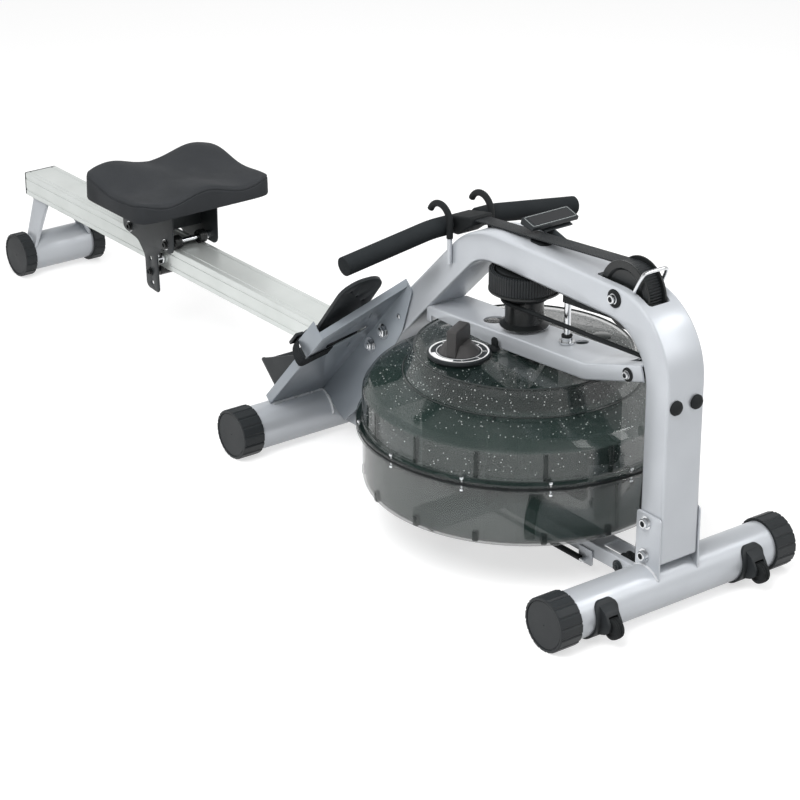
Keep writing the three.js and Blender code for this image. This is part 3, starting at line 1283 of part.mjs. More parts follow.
function carriageBody() {
  const { y, thick, top, frontAxleX, rearAxleX, lowerX, lowerZ } = carriage;
  const shape = outline([
    [cheek.rearX, top], [cheek.rearX, cheek.rearLow, cheek.heelRound],
    [cheek.waistX, cheek.waistZ, cheek.neckRound], [cheek.neckX, cheek.neckZ, cheek.neckRound],
    [cheek.heelX, cheek.heelZ, cheek.heelRound], [cheek.toeX, cheek.toeZ, cheek.toeRound],
    [cheek.innerX, cheek.innerZ, cheek.throatRound], [cheek.throatX, cheek.throatZ, cheek.throatRound],
    [cheek.frontX, cheek.frontLow, cheek.frontRound], [cheek.frontX, top],
  ]);
  const cheeks = [-1, 1].map((side) => {
    const ends = [side * y, side * (y + thick)];
    return plateY(shape, Math.min(...ends), Math.max(...ends));
  });
  const shelf = block([cheek.rearX, -y - thick, top - thick], [cheek.frontX, y + thick, top]);
  const webLow = rollerZ + carriage.rollerRadius;
  const webReach = carriage.rollerRadius * 2.5;
  const webs = [rearAxleX + webReach, frontAxleX - webReach].map((x) => block(
    [x, -y - fit.weldSink, webLow], [x + thick, y + fit.weldSink, top - thick / 2],
  ));
  const past = y + thick + fit.overrun;
  const axleBore = boreFor(carriage.axleRadius, sides.small);
  const boreAt = (radius, x, z) => bar('y', radius, -past, past, x, z, sides.small);
  return cut(
    union(...cheeks, shelf, ...webs),
    boreAt(axleBore, frontAxleX, rollerZ), boreAt(axleBore, rearAxleX, rollerZ),
    boreAt(axleBore, lowerX, lowerZ),
    boreAt(carriage.axleRadius * 0.8, carriage.spareHighX, carriage.spareHighZ),
    boreAt(carriage.axleRadius * 0.8, carriage.spareLowX, carriage.spareLowZ),
  );
}
add('seat_carriage', carriageBody(), 'steel');

function axleWithHeads() {
  const out = carriage.y + carriage.thick + fit.gap;
  const head = out + carriage.axleRadius;
  const pieces = [bar('y', carriage.axleRadius, -head, head, 0, 0, sides.small)];
  for (const side of [-1, 1]) {
    const ends = [side * out, side * head];
    pieces.push(bar('y', carriage.axleRadius * 1.7, Math.min(...ends), Math.max(...ends), 0, 0, 6));
  }
  return union(...pieces);
}
add('seat_axle_front', axleWithHeads(), 'steel', [carriage.frontAxleX, 0, rollerZ]);
add('seat_axle_rear', axleWithHeads(), 'steel', [carriage.rearAxleX, 0, rollerZ]);

function roller(radius, half, boreRadius) {
  const round = half / 4;
  return lay(turned([
    [boreRadius, -half], [radius - round, -half], [radius, -half + round], [radius, half - round],
    [radius - round, half], [boreRadius, half], [boreRadius, -half],
  ], sides.wheel), 'y');
}
for (const [row, x] of [['front', carriage.frontAxleX], ['rear', carriage.rearAxleX]]) {
  for (const [name, side] of mirrorSides) {
    add(`seat_roller_${row}_${name}`,
      roller(carriage.rollerRadius, carriage.rollerHalf, boreFor(carriage.axleRadius, sides.small)), 'black',
      [x, side * carriage.rollerY, rollerZ]);
  }
}

function lowerRoller() {
  const past = carriage.y + carriage.thick + fit.overrun;
  return union(
    bar('y', carriage.lowerRadius, -carriage.lowerHalf, carriage.lowerHalf, 0, 0, sides.wheel),
    bar('y', carriage.axleRadius, -past, past, 0, 0, sides.small),
  );
}
add('seat_lower_roller', lowerRoller(), 'black', [carriage.lowerX, 0, carriage.lowerZ]);

// Seat cushion: a rounded pad with two rear lobes, a low nose and a dip on each side of it.
// Each feature's place and spread along and across are shares of the pad's half sizes.
const formShares = {
  lobe: { along: -0.76, spreadAlong: 0.5, across: 0.62, spreadAcross: 0.38 },
  nose: { along: 1, spreadAlong: 0.8, across: 0, spreadAcross: 0.24 },
  thigh: { along: 1, spreadAlong: 0.5, across: 0.56, spreadAcross: 0.28 },
  bowl: { along: 0.1, spreadAlong: 0.5, across: 0.66, spreadAcross: 0.5 },
};
const cornerPower = 10;
const ringShares = [0.985, 0.97, 0.93, 0.86, 0.74, 0.58, 0.4, 0.2, 0.06];
const rimShares = { start: 0.9, rise: 0.12, bend: 0.9 };

// A place on the pad's edge, from even steps round a square that is drawn in at its corners
function seatEdge(step) {
  const quarter = sides.seatAround / 4;
  const along = (step % quarter) / quarter * 2 - 1;
  const turn = Math.floor(step / quarter) * quarterTurn;
  const square = new THREE.Vector2(1, along).rotateAround(new THREE.Vector2(), turn);
  const reach = (Math.abs(square.x) ** cornerPower + Math.abs(square.y) ** cornerPower) ** (1 / cornerPower);
  return square.divideScalar(reach);
}

function swell(u, v, { along, spreadAlong, across, spreadAcross }) {
  return Math.exp(-(((Math.abs(v) - across) / spreadAcross) ** 2) - ((u - along) / spreadAlong) ** 2);
}

function seatTop(u, v) {
  const raised = seat.lobe * swell(u, v, formShares.lobe) + seat.nose * swell(u, v, formShares.nose);
  return raised - seat.thigh * swell(u, v, formShares.thigh) - seat.bowl * swell(u, v, formShares.bowl);
}

function seatCushion() {
  const halfDeep = seat.deep / 2;
  const halfWide = seat.wide / 2;
  const rings = [];
  const ringAt = (share, height) => {
    const ring = [];
    for (let corner = 0; corner < sides.seatAround; corner += 1) {
      const edge = seatEdge(corner).multiplyScalar(share);
      ring.push(new THREE.Vector3(halfDeep * edge.x, halfWide * edge.y, height(edge)));
    }
    return ring;
  };
  const drawn = 1 - seat.draw / halfWide;
  rings.push(ringAt(ringShares[ringShares.length - 1], () => 0));
  rings.push(ringAt(drawn, () => 0));
  rings.push(ringAt(1, () => seat.draw));
  ringShares.forEach((share) => {
    const past = Math.max(0, share - rimShares.start) / (ringShares[0] - rimShares.start);
    const side = seat.edge * (1 - rimShares.rise * (1 - Math.sqrt(1 - rimShares.bend * past ** 2)));
    rings.push(ringAt(share, (edge) => side + seatTop(edge.x, edge.y)));
  });
  return ringBody(rings);
}
add('seat_cushion', seatCushion(), 'rubber', [seat.x, 0, seat.bottom]);

export default group;
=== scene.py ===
"""Water rowing machine: a smoked tank under an arched tube, a belt handle, foot plates and a rolling seat."""

import logging
import math
import random
from dataclasses import dataclass
from enum import Enum

import bpy
from mathutils import Matrix, Vector


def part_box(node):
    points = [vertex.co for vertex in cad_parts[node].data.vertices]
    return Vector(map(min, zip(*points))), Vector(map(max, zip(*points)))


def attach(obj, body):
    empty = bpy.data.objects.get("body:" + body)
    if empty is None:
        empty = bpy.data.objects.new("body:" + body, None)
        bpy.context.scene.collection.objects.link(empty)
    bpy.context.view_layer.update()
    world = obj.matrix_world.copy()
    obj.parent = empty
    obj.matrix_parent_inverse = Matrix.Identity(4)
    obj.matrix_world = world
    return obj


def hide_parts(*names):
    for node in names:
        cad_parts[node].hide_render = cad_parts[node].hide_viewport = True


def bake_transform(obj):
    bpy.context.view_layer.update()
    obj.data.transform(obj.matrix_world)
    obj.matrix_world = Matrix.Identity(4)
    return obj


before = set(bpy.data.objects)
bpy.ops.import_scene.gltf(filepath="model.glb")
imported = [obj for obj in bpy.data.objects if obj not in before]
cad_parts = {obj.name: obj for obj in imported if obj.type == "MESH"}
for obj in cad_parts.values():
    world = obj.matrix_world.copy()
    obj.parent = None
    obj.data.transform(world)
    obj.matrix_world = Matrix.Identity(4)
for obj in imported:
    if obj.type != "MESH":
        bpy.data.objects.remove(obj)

LOG = logging.getLogger("rowing_machine")
METRE = 1000
MM = 1 / METRE
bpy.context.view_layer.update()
Point = tuple[float, float, float]
Flat = tuple[float, float]
Piece = bpy.types.Object


class Axis(Enum):
    """The row frame's three directions."""

    X = (1.0, 0.0, 0.0)
    Y = (0.0, 1.0, 0.0)
    Z = (0.0, 0.0, 1.0)


class Side(Enum):
    """The two sides of the machine, for a rower who faces the tank."""

    LEFT = 1
    RIGHT = -1

    @property
    def word(self) -> str:
        """The side's name as the pieces carry it."""
        return self.name.lower()


def origin_x() -> float:
    """Place of the front foot's axis along X, in metres."""
    low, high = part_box("front_foot_cap_left")
    return (low.x + high.x) / 2


ORIGIN_X = origin_x()


def place(x: float, y: float, z: float) -> Vector:
    """A point in millimetres from the front foot's axis, as metres in the row frame."""
    return Vector((ORIGIN_X + x * MM, y * MM, z * MM))


# Places that more than one sub-assembly needs, and sizes of bought-in stock

FRONT_X, MID_X, REAR_X = 0.0, -876.0, -1891.0
FOOT_Z = 45.0
TUBE_RADIUS = 40.0
TUBE_ROOM = 40.3
PULLEY: Point = (-96.0, 0.0, 505.0)
UPPER_WHEEL: Point = (-56.0, 0.0, 392.0)
LOWER_WHEEL: Point = (-83.0, 0.0, 43.0)
CORD_RUN = 16.05
REAR_WHEEL: Point = (-640.0, -CORD_RUN, LOWER_WHEEL[2] - CORD_RUN)
TANK_X = -357.7
LID = 330.0
DIAL: Point = (-387.0, -112.0, LID)
PLUG: Point = (-370.5, -51.9, LID)
BELT_START: Point = (-470.0, 0.0, 517.5)


# Finishes


def linear(hex_colour: str, alpha: float = 1.0) -> tuple[float, float, float, float]:
    """Turns an sRGB hex colour into linear light.

    Args:
        hex_colour: six hex digits.
        alpha: the fourth value.

    Returns:
        Linear red, green, blue and alpha.
    """
    values = [int(hex_colour[i : i + 2], 16) / 255 for i in (0, 2, 4)]
    light = [v / 12.92 if v <= 0.04045 else ((v + 0.055) / 1.055) ** 2.4 for v in values]
    return (light[0], light[1], light[2], alpha)


def add_node(tree: bpy.types.NodeTree, kind: str, settings: dict | None = None,
             links: dict | None = None) -> bpy.types.Node:
    """Adds one node with its settings and links.

    Args:
        tree: the node tree.
        kind: the node's type name.
        settings: values by socket name or number, or by property name.
        links: output sockets by input name or number.

    Returns:
        The new node.
    """
    node = tree.nodes.new(kind)
    for key, value in (settings or {}).items():
        if isinstance(key, int) or key in node.inputs:
            node.inputs[key].default_value = value
        else:
            setattr(node, key, value)
    for key, output in (links or {}).items():
        tree.links.new(output, node.inputs[key])
    return node


class Work(Enum):
    """What a tool does to the piece that it meets."""

    CUT = "DIFFERENCE"
    JOIN = "UNION"
    KEEP = "INTERSECT"


class Grain(Enum):
    """How a surface's fine relief runs."""

    EVEN = "even"
    ALONG_X = "along x"
    WOVEN = "woven"
    RIBBED = "ribbed across"


@dataclass(frozen=True)
class Finish:
    """A surface finish, named for its material and how it was made.

    Lengths are in millimetres: grain is the size of the fine relief, cloud the size of the slow changes.
    """

    name: str
    colour: str
    dark: str
    roughness: float
    slot: str
    metallic: float = 0.0
    grain: float = 2.5
    relief: float = 0.08
    cloud: float = 60.0
    spread: float = 0.06
    coat: float = 0.0
    ior: float = 1.5
    sheen: float = 0.0
    specular: float = 0.5
    opacity: float = 1.0
    pattern: Grain = Grain.EVEN

    def material(self) -> bpy.types.Material:
        """Makes the finish's material once and returns it."""
        known = bpy.data.materials.get(self.name)
        if known:
            return known
        made = bpy.data.materials.new(self.name)
        made.use_nodes = True
        tree = made.node_tree
        shader = tree.nodes["Principled BSDF"]
        where = add_node(tree, "ShaderNodeTexCoord")
        stretch = (0.02, 1.0, 1.0) if self.pattern is Grain.ALONG_X else (1.0, 1.0, 1.0)
        source = where.outputs["UV" if self.pattern in (Grain.WOVEN, Grain.RIBBED) else "Object"]
        mapped = add_node(tree, "ShaderNodeMapping", {"Scale": stretch}, {"Vector": source})
        cloud = add_node(tree, "ShaderNodeTexNoise", {"Scale": METRE / self.cloud, "Detail": 3.0},
                         {"Vector": where.outputs["Object"]})
        shades = {"data_type": "RGBA", 6: linear(self.colour), 7: linear(self.dark)}
        tint = add_node(tree, "ShaderNodeMix", shades)
        tree.links.new(cloud.outputs["Fac"], tint.inputs[0])
        tree.links.new(tint.outputs[2], shader.inputs["Base Color"])
        low, high = max(0.0, self.roughness - self.spread), min(1.0, self.roughness + self.spread)
        spans = {"From Min": 0.3, "From Max": 0.7, "To Min": low, "To Max": high}
        rough = add_node(tree, "ShaderNodeMapRange", spans, {"Value": cloud.outputs["Fac"]})
        tree.links.new(rough.outputs["Result"], shader.inputs["Roughness"])
        height = self.relief_height(tree, mapped)
        bump = add_node(tree, "ShaderNodeBump", {"Strength": self.relief, "Distance": self.grain * MM * 0.5},
                        {"Height": height})
        tree.links.new(bump.outputs["Normal"], shader.inputs["Normal"])
        shader.inputs["Metallic"].default_value = self.metallic
        shader.inputs["Coat Weight"].default_value = self.coat
        shader.inputs["Sheen Weight"].default_value = self.sheen
        shader.inputs["IOR"].default_value = self.ior
        shader.inputs["Specular IOR Level"].default_value = self.specular
        if self.opacity < 1:
            self.thin_out(tree, shader)
        made.diffuse_color = linear(self.colour)
        return made

    def thin_out(self, tree: bpy.types.NodeTree, shader: bpy.types.Node) -> None:
        """Lets light straight through, and less of it where the wall is seen at a slant."""
        slant = add_node(tree, "ShaderNodeLayerWeight", {"Blend": 0.5})
        steep = add_node(tree, "ShaderNodeMath", {"operation": "POWER", 1: 4.0}, {0: slant.outputs["Facing"]})
        veil = add_node(tree, "ShaderNodeMapRange", {"To Min": self.opacity, "To Max": 0.95},
                        {"Value": steep.outputs[0]})
        tree.links.new(veil.outputs["Result"], shader.inputs["Alpha"])

    def relief_height(self, tree: bpy.types.NodeTree, mapped: bpy.types.Node) -> bpy.types.NodeSocket:
        """The height that the bump reads: a fine noise, or a weave of threads."""
        if self.pattern in (Grain.EVEN, Grain.ALONG_X):
            fine = add_node(tree, "ShaderNodeTexNoise", {"Scale": METRE / self.grain, "Detail": 2.0},
                            {"Vector": mapped.outputs["Vector"]})
            return fine.outputs["Fac"]
        threads = [
            add_node(tree, "ShaderNodeTexWave",
                     {"bands_direction": way, "Scale": METRE / self.grain / 20 * math.tau, "Distortion": 0.4},
                     {"Vector": mapped.outputs["Vector"]})
            for way in ("X", "Y")
        ]
        if self.pattern is Grain.RIBBED:
            return threads[1].outputs["Fac"]
        both = add_node(tree, "ShaderNodeMath", {"operation": "MULTIPLY"},
                        {0: threads[0].outputs["Fac"], 1: threads[1].outputs["Fac"]})
        return both.outputs[0]


# Powder coat: a baked silver paint, its slight orange peel drawn at 3 mm to show
POWDER_COAT = Finish("silver_powder_coat", "c4c8cd", "bdc1c6", 0.34, "silver",
                     metallic=0.4, grain=3.0, relief=0.05)
# The same paint on the thin foot plates, with painted shade: its colour is darkened because the plates stand
# in shade
SHADED_PLATE_COAT = Finish("sheet_powder_coat", "969da4", "8f969d", 0.36, "silver",
                    metallic=0.45, grain=3.0, relief=0.05)
# Weld beads: the same paint over a rippled bead, coloured lighter than the paint as a painted highlight
LIT_WELD_COAT = Finish("painted_weld", "dcdee0", "c5c8cc", 0.3, "silver", metallic=0.3, grain=5.0, relief=0.5)
# Extruded anodised aluminium, drawn lines along its length
ANODISED = Finish("anodised_aluminium", "dfe3e1", "d3d8d5", 0.34, "aluminium", metallic=0.6, grain=1.6,
                  relief=0.10, pattern=Grain.ALONG_X)
# Injection-moulded ABS with a fine spark-eroded texture
MOULDED_ABS = Finish("moulded_abs", "2b2e30", "25282a", 0.46, "black_plastic",
                     grain=1.6, relief=0.12, specular=0.25)
# Coarser leather-like mould texture on the belt guard
GRAINED_ABS = Finish("grained_abs", "2b2e2f", "232627", 0.55, "black_plastic",
                     grain=3.5, relief=0.5, specular=0.25)
# Smooth polypropylene of the drum and pulleys
GLOSSY_NYLON = Finish("glossy_nylon", "1d1f20", "171919", 0.3, "black_plastic",
                      grain=4.0, relief=0.03, specular=0.35)
# Vulcanised rubber, dull
RUBBER = Finish("vulcanised_rubber", "202223", "1a1c1d", 0.65, "black_rubber",
                grain=2.0, relief=0.15, specular=0.2)
# Moulded polyurethane skin foam of the seat, matte with a fine leather grain
SKIN_FOAM = Finish("skin_foam", "35373a", "2f3133", 0.66, "seat_foam", grain=2.2, relief=0.35, specular=0.2)
# Nitrile foam sleeve of the grips
GRIP_FOAM = Finish("nitrile_foam", "26292b", "202325", 0.8, "grip_foam", grain=1.8, relief=0.3, specular=0.15)
# Smoked polycarbonate, blow-moulded, clear enough to see the paddles.
# Its index is raised, because the gloss is thinned with the wall.
SMOKED = Finish("smoked_polycarbonate", "1c2b28", "172422", 0.05, "smoked_plastic", grain=70.0, relief=0.02,
                spread=0.02, ior=2.2, opacity=0.25)
# Clearer inner tray of the same resin
TRAY = Finish("clear_tray", "333c39", "2b3431", 0.08, "smoked_plastic", grain=40.0, relief=0.03,
              spread=0.02, ior=2.4, opacity=0.12)
# Moulded ribs and fins in the dark resin
DARK_RESIN = Finish("dark_resin", "232928", "1c2221", 0.2, "smoked_plastic", grain=8.0, relief=0.05, coat=0.3)
# The same resin where it is thin enough to let a little light through
RIB_RESIN = Finish("rib_resin", "1b2725", "17201e", 0.2, "smoked_plastic",
                   grain=8.0, relief=0.05, opacity=0.62)
# Water, a little green
WATER = Finish("water", "5a706a", "526660", 0.02, "smoked_plastic", grain=45.0, relief=0.05,
               spread=0.01, ior=1.5, opacity=0.48)
# Droplets thrown on the walls, near white as painted glints on clear water
GLINT_DROPLET = Finish("water_droplet", "f4f7f6", "e9eeec", 0.05, "smoked_plastic", grain=10.0, relief=0.0,
                 spread=0.02, coat=0.5)
# Bright zinc-plated and polished steel
BRIGHT_STEEL = Finish("polished_steel", "d6d8da", "c9cbcd", 0.16, "bright_steel",
                      metallic=1.0, grain=3.0, relief=0.03)
# Black oxide and satin grey-black paint on steel
BLACK_STEEL = Finish("black_painted_steel", "34383a", "2f3335", 0.45, "dark_steel", grain=2.5, relief=0.08,
                     specular=0.3)
# Polyester webbing, threads drawn at 3 mm to show
WEBBING = Finish("polyester_webbing", "282b2d", "1f2224", 0.85, "webbing",
                 grain=3.0, relief=0.6, specular=0.15,
                 pattern=Grain.WOVEN)
# Drive belt, its cross threads thick enough to show as ribs
RIBBED_BELT = Finish("ribbed_belt", "282b2d", "1f2224", 0.5, "webbing", grain=4.6, relief=1.0, specular=0.35,
                     pattern=Grain.RIBBED)
# Printed ring on the dial
PRINT_WHITE = Finish("screen_print", "e3e4e4", "d9dada", 0.5, "black_plastic", grain=2.0, relief=0.02)
# Warm grey moulding of the dial's knob
KNOB_ABS = Finish("grey_abs", "403f3f", "363535", 0.42, "black_plastic", grain=1.6, relief=0.15, specular=0.3)
# Liquid crystal window
DISPLAY = Finish("display_window", "14171a", "101215", 0.12, "black_plastic",
                 grain=8.0, relief=0.01, coat=0.6)
# Bright rim of the display
DISPLAY_RIM = Finish("display_rim_plating", "c2c8c8", "b4baba", 0.25, "black_plastic",
                     metallic=0.8, grain=4.0, relief=0.01)


# Modelling bench


class Bench:
    """Modelling moves, in millimetres from the front foot's axis."""

    @staticmethod
    def clear() -> None:
        """Leaves edit mode and deselects everything."""
        active = bpy.context.view_layer.objects.active
        if active and active.mode != "OBJECT":
            bpy.ops.object.mode_set(mode="OBJECT")
        bpy.ops.object.select_all(action="DESELECT")

    @staticmethod
    def only(piece: Piece) -> None:
        """Selects one piece alone and makes it active."""
        Bench.clear()
        piece.select_set(True)
        bpy.context.view_layer.objects.active = piece

    @staticmethod
    def settle(piece: Piece, name: str) -> Piece:
        """Names a piece and puts its place into its mesh."""
        Bench.only(piece)
        piece.name = name
        bpy.ops.object.transform_apply(location=True, rotation=True, scale=True)
        return piece

    @staticmethod
    def chain(name: str, points: list[Point]) -> Piece:
        """Extrudes one vertex through a row of points and stays in edit mode.

        Args:
            name: the new piece's name.
            points: the places, in order.

        Returns:
            The piece, an open chain of edges.
        """
        Bench.clear()
        bpy.ops.mesh.primitive_plane_add(size=MM, location=place(*points[0]))
        piece = Bench.settle(bpy.context.object, name)
        bpy.ops.object.mode_set(mode="EDIT")
        bpy.ops.mesh.select_all(action="SELECT")
        bpy.ops.mesh.merge(type="CENTER")
        for before, here in zip(points, points[1:]):
            bpy.ops.mesh.extrude_region_move(TRANSFORM_OT_translate={"value": place(*here) - place(*before)})
        bpy.ops.mesh.select_all(action="SELECT")
        return piece

    @staticmethod
    def close_up(piece: Piece) -> Piece:
        """Merges doubles, turns the faces outwards and leaves edit mode."""
        bpy.ops.mesh.select_all(action="SELECT")
        bpy.ops.mesh.remove_doubles(threshold=0.00001)
        bpy.ops.mesh.normals_make_consistent(inside=False)
        bpy.ops.object.mode_set(mode="OBJECT")
        return piece

    @staticmethod
    def plate(name: str, outline: list[Point], push: Point) -> Piece:
        """A sheet cut to an outline and thickened.

        Args:
            name: the new piece's name.
            outline: the corners of one face, in order.
            push: the way and depth of the thickness.

        Returns:
            The closed piece.
        """
        piece = Bench.chain(name, outline)
        bpy.ops.mesh.edge_face_add()
        bpy.ops.mesh.extrude_region_move(TRANSFORM_OT_translate={"value": Vector(push) * MM})
        return Bench.close_up(piece)

    @staticmethod
    def turned(name: str, profile: list[Flat], centre: Point, axis: Axis = Axis.Z, steps: int = 96) -> Piece:
        """A profile of (radius, height) spun about an axis.

        Args:
            name: the new piece's name.
            profile: points that start and end on the axis, or close on themselves.
            centre: where height zero lies.
            axis: the axis of the turning.
            steps: the spin's steps.

        Returns:
            The closed piece.
        """
        cx, cy, cz = centre
        lay = {
            Axis.X: lambda r, h: (cx + h, cy, cz + r),
            Axis.Y: lambda r, h: (cx, cy + h, cz + r),
            Axis.Z: lambda r, h: (cx + r, cy, cz + h),
        }[axis]
        piece = Bench.chain(name, [lay(r, h) for r, h in profile])
        bpy.ops.mesh.spin(steps=steps, angle=math.tau, center=place(*centre), axis=axis.value)
        return Bench.close_up(piece)

    @staticmethod
    def rod(name: str, radius: float, low: float, high: float, centre: Point, axis: Axis = Axis.Y,
            steps: int = 64) -> Piece:
        """A plain round bar between two heights along its axis."""
        return Bench.turned(name, [(0, low), (radius, low), (radius, high), (0, high)], centre, axis, steps)

    @staticmethod
    def ring(name: str, radii: Flat, heights: Flat, centre: Point, axis: Axis = Axis.Y, steps: int = 96,
             ) -> Piece:
        """A plain tube between an inner and an outer radius, and two heights along its axis."""
        (inner, outer), (low, high) = radii, heights
        profile = [(inner, low), (outer, low), (outer, high), (inner, high), (inner, low)]
        return Bench.turned(name, profile, centre, axis, steps)

    @staticmethod
    def block(name: str, low: Point, high: Point) -> Piece:
        """A box between two corners, ready to be shaped."""
        Bench.clear()
        middle = [(a + b) / 2 for a, b in zip(low, high)]
        bpy.ops.mesh.primitive_cube_add(size=MM, location=place(*middle))
        piece = bpy.context.object
        piece.scale = [b - a for a, b in zip(low, high)]
        return Bench.settle(piece, name)

    @staticmethod
    def placed(name: str, data: bpy.types.ID) -> Piece:
        """Puts new data into the scene as an object that is selected alone."""
        piece = bpy.data.objects.new(name, data)
        bpy.context.collection.objects.link(piece)
        Bench.only(piece)
        return piece

    @staticmethod
    def curve(name: str, spots: list[Vector], order: int = 0, resolution: int = 6) -> Piece:
        """A curve through placed points.

        Args:
            name: the curve's name.
            spots: its points, in metres.
            order: zero for straight lines from point to point, or how softly it bends.
            resolution: steps from point to point of a soft curve.

        Returns:
            The curve object, selected alone.
        """
        data = bpy.data.curves.new(name, "CURVE")
        data.dimensions = "3D"
        spline = data.splines.new("NURBS" if order else "POLY")
        spline.points.add(len(spots) - 1)
        for point, spot in zip(spline.points, spots):
            point.co = (*spot, 1.0)
        if order:
            spline.order_u = order
            spline.use_endpoint_u = True
            spline.resolution_u = resolution
        return Bench.placed(name, data)

    @staticmethod
    def swept(name: str, path: list[Point], radius: float, sides: int = 8, order: int = 0) -> Piece:
        """A round rod or cord along a path.

        Args:
            name: the new piece's name.
            path: the points that its middle follows.
            radius: the rod's radius.
            sides: a quarter of the sides round it.
            order: zero for straight lines from point to point, or how softly it bends.

        Returns:
            The closed piece.
        """
        piece = Bench.curve(name, [place(*spot) for spot in path], order)
        piece.data.bevel_depth = radius * MM
        piece.data.bevel_resolution = sides // 2
        piece.data.use_fill_caps = True
        bpy.ops.object.convert(target="MESH")
        bpy.ops.object.mode_set(mode="EDIT")
        return Bench.close_up(piece)

    @staticmethod
    def ribbon(name: str, stations: list[tuple[Vector, Vector, Vector]], half: float, thick: float) -> Piece:
        """A flat band with its length along its UV map's second axis.

        Args:
            name: the new piece's name.
            stations: places along its middle in metres, each with the ways across the band and out of it.
            half: half its width.
            thick: half its thickness.

        Returns:
            The closed piece.
        """
        points: list[Vector] = []
        marks: list[Flat] = []
        length = 0.0
        for i, (spot, across, out) in enumerate(stations):
            if i:
                length += (spot - stations[i - 1][0]).length
            for a, b in ((-1, -1), (1, -1), (1, 1), (-1, 1)):
                points.append(spot + across * half * MM * a + out * thick * MM * b)
                marks.append((half * (a + 1) * MM, length))
        last = len(points) - 4
        faces = [(r + k, r + (k + 1) % 4, r + 4 + (k + 1) % 4, r + 4 + k)
                 for r in range(0, last, 4) for k in range(4)]
        faces += [(3, 2, 1, 0), tuple(range(last, last + 4))]
        mesh = bpy.data.meshes.new(name)
        mesh.from_pydata(points, [], faces)
        layer = mesh.uv_layers.new(name="along")
        for loop in mesh.loops:
            layer.data[loop.index].uv = marks[loop.vertex_index]
        piece = Bench.placed(name, mesh)
        bpy.ops.object.mode_set(mode="EDIT")
        bpy.ops.mesh.select_all(action="SELECT")
        bpy.ops.mesh.normals_make_consistent(inside=False)
        bpy.ops.object.mode_set(mode="OBJECT")
        return piece

    @staticmethod
    def from_node(node: str, name: str) -> Piece:
        """A merged copy of a CAD node, free of its parent."""
        Bench.clear()
        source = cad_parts[node]
        twin = source.copy()
        twin.data = source.data.copy()
        twin.parent = None
        twin.matrix_world = Matrix.Identity(4)
        bpy.context.collection.objects.link(twin)
        twin.hide_render = twin.hide_viewport = False
        Bench.only(twin)
        twin.name = name
        bpy.ops.object.mode_set(mode="EDIT")
        return Bench.close_up(twin)

    @staticmethod
    def bevel(piece: Piece, width: float, segments: int = 3, angle: float = 40) -> Piece:
        """Rounds the edges sharper than an angle and applies it."""
        Bench.only(piece)
        rounding = piece.modifiers.new("edges", "BEVEL")
        rounding.width = width * MM
        rounding.segments = segments
        rounding.limit_method = "ANGLE"
        rounding.angle_limit = math.radians(angle)
        rounding.use_clamp_overlap = True
        bpy.ops.object.modifier_apply(modifier=rounding.name)
        return piece

    @staticmethod
    def carve(piece: Piece, *tools: Piece, kind: Work = Work.CUT) -> Piece:
        """Cuts tools out of a piece, joins them to it or keeps what they share, and removes them."""
        for tool in tools:
            Bench.only(piece)
            work = piece.modifiers.new("work", "BOOLEAN")
            work.operation = kind.value
            work.solver = "EXACT"
            work.object = tool
            bpy.ops.object.modifier_apply(modifier=work.name)
            mesh = tool.data
            bpy.data.objects.remove(tool)
            bpy.data.meshes.remove(mesh)
        return piece

    @staticmethod
    def gather(pieces: list[Piece], name: str) -> Piece:
        """Joins loose parts of one kind into one piece."""
        Bench.clear()
        for piece in pieces:
            piece.select_set(True)
        bpy.context.view_layer.objects.active = pieces[0]
        if len(pieces) > 1:
            bpy.ops.object.join()
        pieces[0].name = name
        return pieces[0]

    @staticmethod
    def swung(piece: Piece, name: str, turn: float, about: Point, axis: Axis = Axis.Z) -> Piece:
        """Turns a piece about a point and gives it its final name."""
        hub = Matrix.Translation(place(*about))
        piece.data.transform(hub @ Matrix.Rotation(turn, 4, Vector(axis.value)) @ hub.inverted())
        piece.name = name
        return piece

    @staticmethod
    def spread(master: Piece, count: int, about: Point, first: float = 0.0) -> list[Piece]:
        """Copies a piece evenly round an upright axis, each with its own mesh, and removes it.

        Args:
            master: the piece to copy.
            count: how many copies.
            about: a point on the axis.
            first: the first copy's angle.

        Returns:
            The copies.
        """
        twins = []
        for k in range(count):
            twin = Bench.placed(master.name, master.data.copy())
            twins.append(Bench.swung(twin, master.name, first + math.tau * k / count, about))
        bpy.data.objects.remove(master)
        return twins

    @staticmethod
    def dress(piece: Piece, finish: Finish, body: str, nodes: tuple[str, ...] = (),
              angle: float = 35) -> Piece:
        """Gives a piece its finish, shading, body and the nodes that it stands for.

        Args:
            piece: the finished mesh.
            finish: its finish.
            body: the body that it rides on.
            nodes: the CAD nodes that it takes the place of.
            angle: edges flatter than this, in degrees, are shaded smooth.

        Returns:
            The same piece.
        """
        Bench.only(piece)
        piece.data.materials.clear()
        piece.data.materials.append(finish.material())
        bpy.ops.object.shade_smooth_by_angle(angle=math.radians(angle))
        if nodes:
            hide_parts(*nodes)
        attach(piece, body)
        LOG.info("%s on %s", piece.name, body)
        return piece


